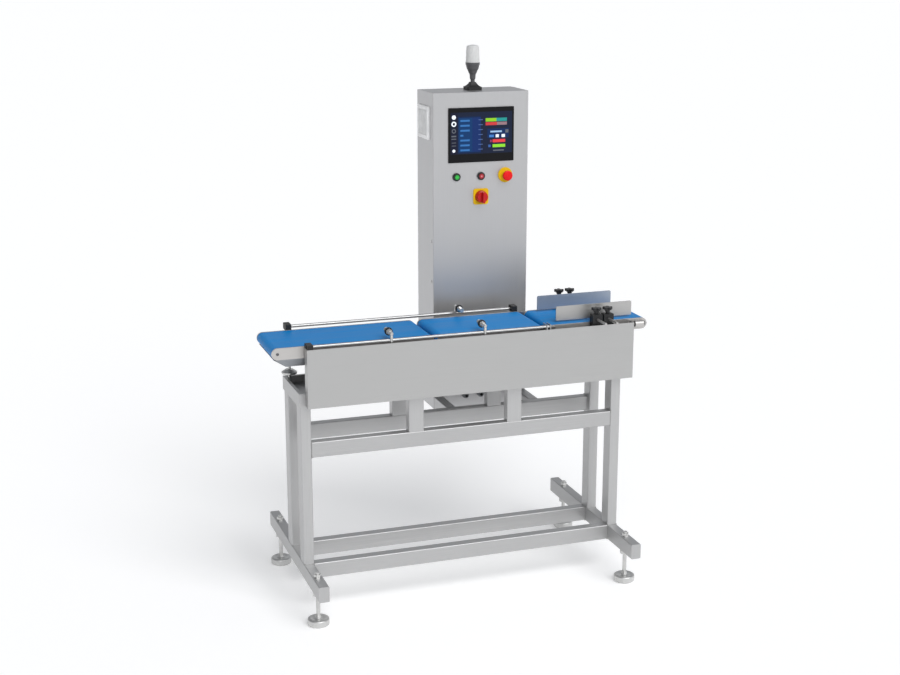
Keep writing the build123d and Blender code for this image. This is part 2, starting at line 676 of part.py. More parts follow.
def belt_tensioners():
    """A round housing on a lug beside each outfeed side plate, with a pointed screw towards the belt end."""
    solids = []
    x = OUTFEED_AXIS_X + OUTFEED_LENGTH - TENSIONER_BACK
    z = AXIS_Z + TENSIONER_ABOVE_AXIS
    for face, way in ((PLATE_FRONT_Y, -1), (PLATE_REAR_Y, 1)):
        y = face + way * TENSIONER_FROM_PLATE
        hub = bar("X", x, y, z, TENSIONER_RADIUS, TENSIONER_LENGTH)
        hub = chamfer(hub.faces().sort_by(Axis.X)[-1].edges(), 0.2 * TENSIONER_RADIUS)
        hub -= bar("X", x, y, z, 0.6 * TENSIONER_RADIUS, 3 * TENSION_SCREW_RADIUS)
        hub += bar("X", x, y, z, TENSION_SCREW_RADIUS, 3 * TENSION_SCREW_RADIUS)
        middle = x + TENSIONER_LENGTH / 2
        hub += box(middle - TENSIONER_LUG / 2, middle + TENSIONER_LUG / 2, *sorted((face, y)),
                   z - TENSIONER_LUG / 2, z + TENSIONER_LUG / 2)
        tip = x + TENSIONER_LENGTH + TENSION_SCREW_REACH
        hub += bar("X", tip, y, z, TENSION_SCREW_RADIUS, -TENSION_SCREW_REACH - 1)
        point = Cone(TENSION_SCREW_RADIUS, 0.5, TENSION_SCREW_POINT, align=(Align.CENTER, Align.CENTER, Align.MIN))
        hub += Pos(tip, y, z) * Rot(0, 90, 0) * point
        solids.append(hub)
    return solids


def front_cover():
    """A cover sheet in front of the conveyors, folded back to the tray at both ends and below."""
    rear = TRAY_FRONT
    front = rear - COVER_STAND_OFF
    cover = box(COVER_LEFT, COVER_RIGHT, front, rear, COVER_BOTTOM, COVER_TOP)
    cover -= box(COVER_LEFT + COVER_SHEET, COVER_RIGHT - COVER_SHEET, front + COVER_SHEET, rear + CUT,
                 COVER_BOTTOM + COVER_SHEET, COVER_TOP + CUT)
    return [cover]


# Sensor rods and sensors


def guide_rods():
    """Two polished rods beside the belts, with the stays that hold their right-hand ends."""
    ear_span = EAR_PITCH + EAR_THICKNESS
    front_right = ROD_RIGHT + BLOCK_LENGTH / 2 + ear_span
    rear_right = ROD_RIGHT + BLOCK_LENGTH / 2
    front_left = ROD_LEFT + FRONT_BLOCK_SHIFT
    rods = [bar("X", front_left, ROD_FRONT_Y, ROD_Z, ROD_RADIUS, front_right - front_left),
            bar("X", ROD_LEFT, ROD_REAR_Y, ROD_Z, ROD_RADIUS, rear_right - ROD_LEFT)]
    z0 = AXIS_Z - SIDE_PLATE_HEIGHT / 8
    z1 = AXIS_Z + 0.4 * SIDE_PLATE_HEIGHT
    end = ROD_RIGHT + STAY_LENGTH
    spacer_left = OUTFEED_AXIS_X
    front_face = PLATE_FRONT_Y - STAY_GAP
    stay = box(ROD_RIGHT, end, front_face - STAY_THICKNESS, front_face, z0, z1)
    stay += box(spacer_left, end, front_face, PLATE_FRONT_Y, z0, z1)
    for step in (0, EAR_PITCH):
        x = ROD_RIGHT + BLOCK_LENGTH / 2 + step
        stay += box(x, x + EAR_THICKNESS, ROD_FRONT_Y - ROD_RADIUS - 3, front_face, z0, ROD_Z + ROD_RADIUS + 3)
    stay -= bar("X", ROD_LEFT, ROD_FRONT_Y, ROD_Z, ROD_RADIUS + RUNNING_FIT, RIGHT_END - ROD_LEFT)
    rear_face = PLATE_REAR_Y + STAY_GAP
    rear_stay = box(ROD_RIGHT - BLOCK_LENGTH / 2, end, rear_face, rear_face + STAY_THICKNESS, z0, z1)
    rear_stay += box(spacer_left, end, PLATE_REAR_Y, rear_face, z0, z1)
    return rods + [stay, rear_stay]


def rod_block(left, near, side, height):
    """A block around the end of a sensor rod, clear of the cover, with a tongue down the plate."""
    rod_y = FRAME_OFFSET + side * (PLATE_OUTER + ROD_FROM_PLATE)
    far = rod_y + side * BLOCK_BEYOND_ROD
    right = left + BLOCK_LENGTH
    top = ROD_Z + height / 2
    block = box(left, right, *sorted((near, far)), COVER_TOP + SEAT_GAP, top)
    block = chamfer(block.edges().filter_by(Axis.X), 2)
    block += box(left, right, *sorted((near, near + side * BLOCK_TONGUE)), AXIS_Z, top - 3)
    return block - bar("X", ROD_LEFT, rod_y, ROD_Z, ROD_RADIUS + RUNNING_FIT, RIGHT_END - ROD_LEFT)


def sensor(x, side):
    """A round sensor in a ring bracket that slides on a rod; side is -1 in front and 1 behind."""
    plate = FRAME_OFFSET + side * PLATE_OUTER
    rod_y = FRAME_OFFSET + side * (PLATE_OUTER + ROD_FROM_PLATE)
    lens = plate - side * (SENSOR_REACH + SIDE_PLATE_THICKNESS)
    ring_near = plate - side * (RING_THICKNESS / 2)
    under = ROD_Z - ROD_RADIUS - 3
    over_plate = BELT_TOP + 2
    lift = ROD_Z + ROD_RADIUS + 5
    arm = box(x - 10, x + 10, *sorted((rod_y + side * 11, plate + side * 8)), under, lift)
    arm += box(x - 10, x + 10, *sorted((plate + side * 8, ring_near)), over_plate, lift)
    ring_far = ring_near + side * RING_THICKNESS
    arm += box(x - 7, x + 7, *sorted((ring_near, ring_far)), over_plate, SENSOR_Z)
    arm += bar("Y", x, ring_near, SENSOR_Z, RING_RADIUS, side * RING_THICKNESS)
    arm -= bar("Y", x, ring_near - side * CUT, SENSOR_Z, SENSOR_RADIUS + RUNNING_FIT, side * (RING_THICKNESS + 2 * CUT))
    arm -= bar("X", x - 20, rod_y, ROD_Z, ROD_RADIUS + RUNNING_FIT, 40)
    barrel = bar("Y", x, lens, SENSOR_Z, SENSOR_RADIUS, side * SENSOR_LENGTH)
    barrel -= bar("Y", x, lens, SENSOR_Z, SENSOR_RADIUS - 2, side * 1.5)
    barrel += bar("Y", x, ring_near, SENSOR_Z, SENSOR_NUT_RADIUS, -side * SENSOR_NUT_THICKNESS)
    barrel += bar("Y", x, ring_far, SENSOR_Z, SENSOR_NUT_RADIUS, side * SENSOR_NUT_THICKNESS)
    tail = lens + side * SENSOR_LENGTH
    lead_y = rod_y + side * (ROD_RADIUS + PLUG_PAST_ROD + PLUG_LEAD_RADIUS)
    barrel += bar("Y", x, tail, SENSOR_Z, PLUG_RADIUS, lead_y - tail)
    barrel += Pos(x, lead_y, SENSOR_Z) * Sphere(PLUG_RADIUS)
    barrel += bar("Z", x, lead_y, SENSOR_Z, PLUG_LEAD_RADIUS, COVER_TOP + PLUG_ABOVE_COVER - SENSOR_Z)
    return [arm, barrel]


# Side guides


def guide_faces(side):
    """Outer face of a guide plate, inner face of its clamps, and their outward direction."""
    outer = FRAME_OFFSET + side * (GUIDE_HALF_GAP + GUIDE_THICKNESS)
    stand_off = REAR_STAND_OFF if side > 0 else 0
    clamp = FRAME_OFFSET + side * (PLATE_OUTER + stand_off)
    return outer, clamp


def guide_rod_places(side):
    """Where the two guide rods lie along X."""
    first = REAR_ROD_X if side > 0 else FRONT_ROD_X
    return first, first + GUIDE_ROD_PITCH


def guide_plate(side):
    """A guide plate above the belt, with rounded upper corners and two round rods behind it."""
    outer, _ = guide_faces(side)
    bottom = BELT_TOP + GUIDE_ABOVE_BELT
    plate = box(GUIDE_LEFT, GUIDE_RIGHT, *sorted((outer - side * GUIDE_THICKNESS, outer)), bottom, bottom + GUIDE_HEIGHT)
    top_corners = plate.edges().filter_by(Axis.Y).group_by(Axis.Z)[-1]
    solids = [fillet(top_corners, 0.1 * GUIDE_HEIGHT)]
    for x in guide_rod_places(side):
        rod = bar("Y", x, outer, GUIDE_ROD_Z, GUIDE_ROD_RADIUS, side * GUIDE_ROD_LENGTH)
        tip = rod.faces().sort_by(Axis.Y)[-1 if side > 0 else 0].edges()
        solids.append(chamfer(tip, 0.2 * GUIDE_ROD_RADIUS))
    return solids


def clamp_blocks():
    """End blocks of the sensor rods, and the guides' clamp blocks in front and on stand-offs behind."""
    left = ROD_LEFT - BLOCK_LENGTH / 4
    rear_stay = PLATE_REAR_Y + STAY_GAP + STAY_THICKNESS
    solids = [rod_block(left + FRONT_BLOCK_SHIFT, PLATE_FRONT_Y, -1, FRONT_BLOCK_HEIGHT),
              rod_block(left, PLATE_REAR_Y, 1, BLOCK_HEIGHT),
              rod_block(ROD_RIGHT - BLOCK_LENGTH / 2, rear_stay, 1, BLOCK_HEIGHT)]
    for side in (-1, 1):
        outer, clamp = guide_faces(side)
        for x in guide_rod_places(side):
            far = clamp + side * CLAMP_DEPTH
            block = box(x - CLAMP_LENGTH / 2, x + CLAMP_LENGTH / 2, *sorted((clamp, far)), CLAMP_BOTTOM, CLAMP_TOP)
            block = chamfer(block.edges().filter_by(Axis.Y), 2)
            block -= bar("Y", x, outer, GUIDE_ROD_Z, GUIDE_ROD_RADIUS + RUNNING_FIT, side * 2 * GUIDE_ROD_LENGTH)
            y = clamp + side * CLAMP_DEPTH / 2
            block -= bar("Z", x, y, GUIDE_ROD_Z, KNOB_SCREW_RADIUS + RUNNING_FIT, CLAMP_TOP - GUIDE_ROD_Z + CUT)
            solids.append(block)
            if side > 0:
                z = (CLAMP_BOTTOM + AXIS_Z + SIDE_PLATE_HEIGHT / 2) / 2
                solids.append(bar("Y", x, PLATE_REAR_Y, z, STAND_OFF_RADIUS, REAR_STAND_OFF))
    return solids


def star_knob(x, y):
    """A lobed knob on a collar, with a screw that reaches down to the guide rod."""
    base = CLAMP_TOP + SEAT_GAP
    tip = GUIDE_ROD_Z + GUIDE_ROD_RADIUS + SEAT_GAP
    knob = bar("Z", x, y, tip, KNOB_SCREW_RADIUS, base - tip)
    knob += bar("Z", x, y, base, KNOB_COLLAR_RADIUS, KNOB_COLLAR_HEIGHT)
    hub = base + KNOB_COLLAR_HEIGHT
    knob += bar("Z", x, y, hub, KNOB_HUB_RADIUS, KNOB_HUB_HEIGHT)
    star = hub + KNOB_HUB_HEIGHT
    reach = 0.68 * KNOB_RADIUS
    outline = Circle(0.62 * KNOB_RADIUS)
    for turn in range(KNOB_LOBES):
        angle = 2 * pi * turn / KNOB_LOBES
        outline += Pos(reach * cos(angle), reach * sin(angle)) * Circle(KNOB_RADIUS - reach)
    head = extrude(section_plane("Z", x, y, star) * outline, amount=KNOB_THICKNESS)
    knob += chamfer(head.faces().sort_by(Axis.Z)[-1].edges(), 0.1 * KNOB_THICKNESS)
    return [knob]


def knob_places():
    """The four star knobs: name, x and y."""
    places = []
    for depth, side in (("front", -1), ("rear", 1)):
        _, clamp = guide_faces(side)
        for hand, x in zip(("left", "right"), guide_rod_places(side)):
            places.append((depth + "_" + hand, x, clamp + side * CLAMP_DEPTH / 2))
    return places


# Cabinet


def cabinet_shell():
    """Folded shell: front, sides, top and bottom, with a flange around the open back."""
    shell = box(CABINET_LEFT, CABINET_RIGHT, CABINET_FRONT, SHELL_REAR, CABINET_BOTTOM, CABINET_TOP)
    shell = fillet(shell.edges().filter_by(Axis.Z).group_by(Axis.Y)[0], CABINET_ROUND)
    sheet = CABINET_SHEET
    shell -= box(CABINET_LEFT + sheet, CABINET_RIGHT - sheet, INSIDE_FRONT, SHELL_REAR - sheet,
                 CABINET_BOTTOM + sheet, CABINET_TOP - sheet)
    flange = FLANGE_WIDTH
    shell -= box(CABINET_LEFT + flange, CABINET_RIGHT - flange, SHELL_REAR - 2 * sheet, SHELL_REAR + CUT,
                 CABINET_BOTTOM + flange, CABINET_TOP - flange)
    width = BEZEL_WIDTH - 2 * HOUSING_MARGIN + PANEL_FIT
    height = BEZEL_HEIGHT - 2 * HOUSING_MARGIN + PANEL_FIT
    shell -= box(CABINET_X - width / 2, CABINET_X + width / 2, CABINET_FRONT - CUT, INSIDE_FRONT + CUT,
                 SCREEN_Z - height / 2, SCREEN_Z + height / 2)
    through = CABINET_SHEET + 2 * CUT
    for x in (CABINET_X - BUTTON_SPACING, CABINET_X):
        shell -= bar("Y", x, CABINET_FRONT - CUT, BUTTON_Z, BUTTON_BARREL_RADIUS + RUNNING_FIT, through)
    stop_x = CABINET_X + BUTTON_SPACING
    shell -= bar("Y", stop_x, CABINET_FRONT - CUT, BUTTON_Z, BUTTON_BARREL_RADIUS + RUNNING_FIT, through)
    shell -= bar("Y", CABINET_X, CABINET_FRONT - CUT, SWITCH_Z, 2 * SWITCH_SHAFT_RADIUS, through)
    for x in gland_places():
        shell -= bar("Y", x, CABINET_FRONT - CUT, GLAND_Z, GLAND_THREAD_RADIUS + RUNNING_FIT, through)
    y = CABINET_FRONT + FILTER_Y_FROM_FRONT
    half = FILTER_OPENING / 2
    shell -= box(CABINET_LEFT - CUT, CABINET_LEFT + sheet + CUT, y - half, y + half, FILTER_Z - half, FILTER_Z + half)
    return [shell]


def hinge_levels():
    """Lower end of each hinge."""
    return (CABINET_BOTTOM + HINGE_FROM_END, CABINET_TOP - HINGE_FROM_END - HINGE_LENGTH)


def door_hinges():
    """The fixed half of both hinges: leaf, two outer knuckles and the pin."""
    solids = []
    third = HINGE_LENGTH / 3
    for z in hinge_levels():
        leaf = box(CABINET_RIGHT, CABINET_RIGHT + HINGE_LEAF, SHELL_REAR - HINGE_LEAF_WIDTH, SHELL_REAR - DOOR_GAP,
                   z, z + HINGE_LENGTH)
        for level in (z, z + 2 * third):
            leaf += bar("Z", HINGE_X, HINGE_Y, level, HINGE_RADIUS, third)
            leaf += box(CABINET_RIGHT, CABINET_RIGHT + HINGE_LEAF, SHELL_REAR - HINGE_LEAF_WIDTH, HINGE_Y,
                        level, level + third)
        leaf += bar("Z", HINGE_X, HINGE_Y, z, HINGE_PIN_RADIUS, HINGE_LENGTH)
        solids.append(leaf)
    return solids


def cabinet_door():
    """A rear door: a flat pan with folded edges, the hinge's middle knuckles and the lock's hole."""
    left = CABINET_LEFT + DOOR_GAP
    right = CABINET_RIGHT - DOOR_GAP
    bottom = CABINET_BOTTOM + DOOR_GAP
    top = CABINET_TOP - DOOR_GAP
    front = SHELL_REAR + DOOR_GAP
    door = box(left, right, front, CABINET_REAR, bottom, top)
    sheet = CABINET_SHEET
    door -= box(left + sheet, right - sheet, front - CUT, CABINET_REAR - sheet, bottom + sheet, top - sheet)
    third = HINGE_LENGTH / 3
    for z in hinge_levels():
        low = z + third + SEAT_GAP
        high = z + 2 * third - SEAT_GAP
        door += box(right - sheet, HINGE_X, HINGE_Y - HINGE_LEAF / 2, HINGE_Y + HINGE_LEAF / 2, low, high)
        door += bar("Z", HINGE_X, HINGE_Y, low, HINGE_RADIUS, high - low)
        door -= bar("Z", HINGE_X, HINGE_Y, low - CUT, HINGE_PIN_RADIUS + RUNNING_FIT, high - low + 2 * CUT)
    lock_x = CABINET_LEFT + LOCK_FROM_EDGE
    lock_z = (CABINET_BOTTOM + CABINET_TOP) / 2
    door -= bar("Y", lock_x, CABINET_REAR - 2 * sheet, lock_z, LOCK_RADIUS + RUNNING_FIT, 3 * sheet)
    return [door]


def door_lock():
    """A quarter-turn lock: slotted head, barrel, and a cam that points up while unlocked."""
    x = CABINET_LEFT + LOCK_FROM_EDGE
    z = (CABINET_BOTTOM + CABINET_TOP) / 2
    cam_rear = SHELL_REAR - CABINET_SHEET - DOOR_GAP
    cam_front = cam_rear - LOCK_CAM_THICKNESS
    head = bar("Y", x, CABINET_REAR, z, LOCK_HEAD_RADIUS, LOCK_HEAD_HEIGHT)
    head -= box(x - 1.5, x + 1.5, CABINET_REAR + LOCK_HEAD_HEIGHT / 2, CABINET_REAR + LOCK_HEAD_HEIGHT + CUT,
                z - LOCK_RADIUS, z + LOCK_RADIUS)
    lock = head + bar("Y", x, cam_rear, z, LOCK_RADIUS, CABINET_REAR - cam_rear)
    cam = box(x - LOCK_CAM_WIDTH / 2, x + LOCK_CAM_WIDTH / 2, cam_front, cam_rear, z, z + LOCK_CAM_LENGTH)
    cam += bar("Y", x, cam_front, z, LOCK_RADIUS, LOCK_CAM_THICKNESS)
    return [lock, cam]


def mounting_plate():
    """The plate inside the cabinet, its four stand-offs and its three rails."""
    left = CABINET_LEFT + PLATE_MARGIN
    right = CABINET_RIGHT - PLATE_MARGIN
    front = INSIDE_FRONT + PLATE_STAND_OFF
    solids = [box(left, right, front, front + PLATE_THICKNESS, PLATE_BOTTOM, PLATE_TOP)]
    inset = 2 * PLATE_POST_RADIUS
    for x in (left + inset, right - inset):
        for z in (PLATE_BOTTOM + inset, PLATE_TOP - inset):
            solids.append(bar("Y", x, INSIDE_FRONT, z, PLATE_POST_RADIUS, PLATE_STAND_OFF))
    rear = front + PLATE_THICKNESS
    for z in RAIL_LEVELS:
        lip = 5
        rail = box(left + inset, right - inset, rear, rear + RAIL_DEPTH, z - RAIL_HEIGHT / 2, z + RAIL_HEIGHT / 2)
        rail -= box(left, right, rear + 1, rear + RAIL_DEPTH + CUT, z - RAIL_HEIGHT / 2 + lip, z + RAIL_HEIGHT / 2 - lip)
        rail -= box(left, right, rear - CUT, rear + RAIL_DEPTH - 1, z - RAIL_HEIGHT / 2 - CUT, z - RAIL_HEIGHT / 2 + lip - 1)
        rail -= box(left, right, rear - CUT, rear + RAIL_DEPTH - 1, z + RAIL_HEIGHT / 2 - lip + 1, z + RAIL_HEIGHT / 2 + CUT)
        solids.append(rail)
    return solids


def module(x, z, width, height, depth):
    """A rail-mounted module: a deep body with a narrower front part."""
    rear = INSIDE_FRONT + PLATE_STAND_OFF + PLATE_THICKNESS + RAIL_DEPTH
    body = box(x - width / 2, x + width / 2, rear, rear + 0.7 * depth, z - height / 2, z + height / 2)
    body += box(x - width / 2, x + width / 2, rear + 0.7 * depth, rear + depth, z - height / 4, z + height / 4)
    return body


def control_gear():
    """Power supply, controller, motor drives, breakers and terminals on the rails, and contact blocks."""
    low, middle, high = RAIL_LEVELS
    solids = [module(CABINET_X - 90, high, *SUPPLY_SIZE), module(CABINET_X + 20, high, *CONTROLLER_SIZE),
              module(CABINET_X + 115, high, *RELAY_SIZE)]
    for step in (-1, 0, 1):
        solids.append(module(CABINET_X + step * DRIVE_PITCH, middle, *DRIVE_SIZE))
    first = CABINET_X - BREAKER_PITCH * (BREAKERS - 1) / 2
    for step in range(BREAKERS):
        solids.append(module(first + step * BREAKER_PITCH, low, *BREAKER_SIZE))
    rear = CABINET_FRONT + BUTTON_BARREL_LENGTH
    half = CONTACT_BLOCK_SIZE / 2
    for x in (CABINET_X - BUTTON_SPACING, CABINET_X, CABINET_X + BUTTON_SPACING):
        solids.append(box(x - half, x + half, rear, rear + CONTACT_BLOCK_DEPTH, BUTTON_Z - half, BUTTON_Z + half))
    switch = box(CABINET_X - 1.5 * half, CABINET_X + 1.5 * half, INSIDE_FRONT, INSIDE_FRONT + 1.5 * CONTACT_BLOCK_DEPTH,
                 SWITCH_Z - 1.5 * half, SWITCH_Z + 1.5 * half)
    switch -= bar("Y", CABINET_X, INSIDE_FRONT - CUT, SWITCH_Z, 2 * SWITCH_SHAFT_RADIUS, CONTACT_BLOCK_DEPTH / 2)
    solids.append(switch)
    return solids


def filter_frame():
    """A square filter frame on the left side, with fine upright ribs across its opening."""
    y = CABINET_FRONT + FILTER_Y_FROM_FRONT
    half = FILTER_SIZE / 2
    inner = FILTER_OPENING / 2
    face = CABINET_LEFT - FILTER_PROUD
    frame = box(face, CABINET_LEFT, y - half, y + half, FILTER_Z - half, FILTER_Z + half)
    frame = chamfer(frame.faces().sort_by(Axis.X)[0].edges(), 2.5)
    frame -= box(face - CUT, CABINET_LEFT + CUT, y - inner, y + inner, FILTER_Z - inner, FILTER_Z + inner)
    pitch = FILTER_OPENING / FILTER_RIBS
    for step in range(1, FILTER_RIBS):
        rib_y = y - inner + step * pitch
        frame += box(face + 1.5, CABINET_LEFT - 1, rib_y - FILTER_RIB_THICKNESS / 2, rib_y + FILTER_RIB_THICKNESS / 2,
                     FILTER_Z - inner, FILTER_Z + inner)
    bar_x = CABINET_LEFT - 2.5
    for z in (FILTER_Z - inner / 3, FILTER_Z + inner / 3):
        frame += box(bar_x, CABINET_LEFT - 1, y - inner, y + inner, z - 1.5, z + 1.5)
    return [frame]


def filter_mat():
    """The filter mat behind the ribs, in the shell's opening."""
    y = CABINET_FRONT + FILTER_Y_FROM_FRONT
    half = FILTER_OPENING / 2 - SEAT_GAP
    return [box(CABINET_LEFT, CABINET_LEFT + FILTER_MAT_THICKNESS, y - half, y + half, FILTER_Z - half, FILTER_Z + half)]


def hmi_housing():
    """The operator terminal: a bezel in front of the panel and a housing behind it."""
    front = CABINET_FRONT - BEZEL_PROUD
    plane = Plane((CABINET_X, CABINET_FRONT, SCREEN_Z), x_dir=(1, 0, 0), z_dir=(0, -1, 0))
    bezel = extrude(plane * RectangleRounded(BEZEL_WIDTH, BEZEL_HEIGHT, BEZEL_ROUND), amount=BEZEL_PROUD)
    bezel = chamfer(bezel.faces().sort_by(Axis.Y)[0].edges(), 1.2)
    half_w = BEZEL_WIDTH / 2 - HOUSING_MARGIN
    half_h = BEZEL_HEIGHT / 2 - HOUSING_MARGIN
    bezel += box(CABINET_X - half_w, CABINET_X + half_w, CABINET_FRONT, CABINET_FRONT + HOUSING_DEPTH,
                 SCREEN_Z - half_h, SCREEN_Z + half_h)
    z = SCREEN_Z + DISPLAY_UP
    bezel -= box(CABINET_X - DISPLAY_WIDTH / 2, CABINET_X + DISPLAY_WIDTH / 2, front - CUT, front + DISPLAY_GLASS,
                 z - DISPLAY_HEIGHT / 2, z + DISPLAY_HEIGHT / 2)
    return [bezel]


def hmi_screen():
    """The touch screen, set flush into the bezel."""
    front = CABINET_FRONT - BEZEL_PROUD
    z = SCREEN_Z + DISPLAY_UP
    half_w = DISPLAY_WIDTH / 2 - RUNNING_FIT
    half_h = DISPLAY_HEIGHT / 2 - RUNNING_FIT
    return [box(CABINET_X - half_w, CABINET_X + half_w, front + 0.2, front + DISPLAY_GLASS, z - half_h, z + half_h)]


def button_collars():
    """The fixed rings of the two push buttons, with their barrels through the panel."""
    solids = []
    bore = BUTTON_CAP_RADIUS + RUNNING_FIT
    ring = turned([(bore, -BUTTON_BARREL_LENGTH), (BUTTON_BARREL_RADIUS, -BUTTON_BARREL_LENGTH),
                   (BUTTON_BARREL_RADIUS, 0), (BUTTON_COLLAR_RADIUS, 0),
                   (BUTTON_COLLAR_RADIUS, BUTTON_COLLAR_HEIGHT - 2), (BUTTON_COLLAR_RADIUS - 2, BUTTON_COLLAR_HEIGHT),
                   (bore, BUTTON_COLLAR_HEIGHT)])
    for x in (CABINET_X - BUTTON_SPACING, CABINET_X):
        solids.append(facing_front(ring, x, CABINET_FRONT, BUTTON_Z))
    return solids


def push_button(x):
    """A button cap with its plunger."""
    top = BUTTON_COLLAR_HEIGHT + BUTTON_CAP_PROUD
    inner = BUTTON_TRAVEL + SEAT_GAP - BUTTON_BARREL_LENGTH
    cap = turned([(0, inner), (6, inner), (6, 0), (BUTTON_CAP_RADIUS, 0), (BUTTON_CAP_RADIUS, top - 1.5),
                  (BUTTON_CAP_RADIUS - 1.5, top), (0, top)])
    return [facing_front(cap, x, CABINET_FRONT, BUTTON_Z)]


def estop_base():
    """The emergency stop's yellow ring and collar, with its barrel through the panel."""
    bore = STOP_STEM_RADIUS + RUNNING_FIT
    top = STOP_RING_HEIGHT + STOP_COLLAR_HEIGHT
    ring = turned([(bore, -BUTTON_BARREL_LENGTH), (BUTTON_BARREL_RADIUS, -BUTTON_BARREL_LENGTH),
                   (BUTTON_BARREL_RADIUS, 0), (STOP_RING_RADIUS, 0), (STOP_RING_RADIUS, STOP_RING_HEIGHT - 1),
                   (STOP_RING_RADIUS - 1, STOP_RING_HEIGHT), (STOP_COLLAR_RADIUS, STOP_RING_HEIGHT),
                   (STOP_COLLAR_RADIUS - 1, top), (bore, top)])
    return [facing_front(ring, CABINET_X + BUTTON_SPACING, CABINET_FRONT, BUTTON_Z)]


def estop_button():
    """The red mushroom head on its stem."""
    bottom = STOP_RING_HEIGHT + STOP_COLLAR_HEIGHT + STOP_TRAVEL + SEAT_GAP
    top = bottom + STOP_HEAD_HEIGHT
    inner = STOP_TRAVEL + SEAT_GAP - BUTTON_BARREL_LENGTH
    edge = STOP_HEAD_RADIUS
    profile = make_face(
        Polyline((0, 0, inner), (STOP_STEM_RADIUS, 0, inner), (STOP_STEM_RADIUS, 0, bottom), (edge - 2, 0, bottom),
                 (edge, 0, bottom + 3), (edge, 0, bottom + 0.55 * STOP_HEAD_HEIGHT))
        + Spline((edge, 0, bottom + 0.55 * STOP_HEAD_HEIGHT), (0.7 * edge, 0, top - 0.12 * STOP_HEAD_HEIGHT),
                 (0, 0, top), tangents=[(0, 0, 1), (-1, 0, 0)])
        + Line((0, 0, top), (0, 0, inner))
    )
    head = revolve(profile, axis=Axis.Z)
    return [facing_front(head, CABINET_X + BUTTON_SPACING, CABINET_FRONT, BUTTON_Z)]


def switch_plate():
    """The main switch's yellow plate with rounded corners."""
    plane = Plane((CABINET_X, CABINET_FRONT, SWITCH_Z), x_dir=(1, 0, 0), z_dir=(0, -1, 0))
    outline = RectangleRounded(SWITCH_PLATE_SIZE, SWITCH_PLATE_SIZE, 0.16 * SWITCH_PLATE_SIZE)
    outline -= Circle(SWITCH_SHAFT_RADIUS + RUNNING_FIT)
    return [extrude(plane * outline, amount=SWITCH_PLATE_THICKNESS)]


def switch_knob():
    """The main switch's round red knob with a raised grip across it."""
    base = SWITCH_PLATE_THICKNESS + SEAT_GAP
    top = base + SWITCH_KNOB_HEIGHT
    radius = SWITCH_KNOB_RADIUS
    knob = turned([(0, -CONTACT_BLOCK_DEPTH / 4), (SWITCH_SHAFT_RADIUS, -CONTACT_BLOCK_DEPTH / 4),
                   (SWITCH_SHAFT_RADIUS, base), (radius, base), (radius, base + 4), (0.86 * radius, top), (0, top)])
    grip = Pos(0, 0, top - 1) * extrude(SlotOverall(1.9 * radius, SWITCH_GRIP_WIDTH, rotation=90), amount=SWITCH_GRIP_HEIGHT,
                                        taper=6)
    knob += grip
    return [facing_front(knob, CABINET_X, CABINET_FRONT, SWITCH_Z)]


def gland_places():
    """The three cable glands along X."""
    return (CABINET_X - GLAND_SPACING, CABINET_X, CABINET_X + GLAND_SPACING)


def cable_glands():
    """Cable glands in the cabinet's lower front, bored for a cable."""
    solids = []
    length = GLAND_LENGTH
    radius = GLAND_RADIUS
    bore = GLAND_BORE_RADIUS
    for x in gland_places():
        gland = turned([(bore, -GLAND_INSIDE - CABINET_SHEET), (GLAND_THREAD_RADIUS, -GLAND_INSIDE - CABINET_SHEET),
                        (GLAND_THREAD_RADIUS, 0), (radius, 0), (radius, 0.55 * length), (0.86 * radius, 0.6 * length),
                        (0.8 * radius, 0.9 * length), (0.62 * radius, length), (bore, length)])
        solids.append(facing_front(gland, x, CABINET_FRONT, GLAND_Z))
    return solids


def side_screws():
    """Two cap screws on the cabinet's left side, near its front."""
    solids = []
    y = CABINET_FRONT + SIDE_SCREW_FROM_FRONT
    for below in SIDE_SCREWS_BELOW_TOP:
        solids.append(bar("X", CABINET_LEFT, y, CABINET_TOP - below, SIDE_SCREW_RADIUS, -SIDE_SCREW_HEIGHT))
    return solids


# Beacon


def beacon_y():
    """The beacon stands on the middle of the cabinet's top."""
    return (CABINET_FRONT + CABINET_REAR) / 2


def beacon_base():
    """A square plinth that sweeps up to the beacon's neck."""
    place = Pos(CABINET_X, beacon_y(), CABINET_TOP)
    plinth = extrude(RectangleRounded(BEACON_BASE, BEACON_BASE, 6), amount=BEACON_PLINTH)
    levels = [(1.0, 0.0), (0.62, 0.45), (0.4, 1.0)]
    sections = []
    for share, rise in levels:
        size = share * (BEACON_BASE - 4)
        level = BEACON_PLINTH + rise * BEACON_FLARE
        sections.append(Pos(0, 0, level) * RectangleRounded(size, size, 0.12 * size))
    return [place * (plinth + loft(sections))]


def beacon_body():
    """Neck, stepped cone and cup of the beacon."""
    points = [(0, 0)]
    for share, radius in BEACON_STEPS:
        points.append((radius, share * BEACON_BODY_HEIGHT))
    points.append((0, BEACON_BODY_HEIGHT))
    return [Pos(CABINET_X, beacon_y(), CABINET_TOP + BEACON_PLINTH + BEACON_FLARE) * turned(points)]


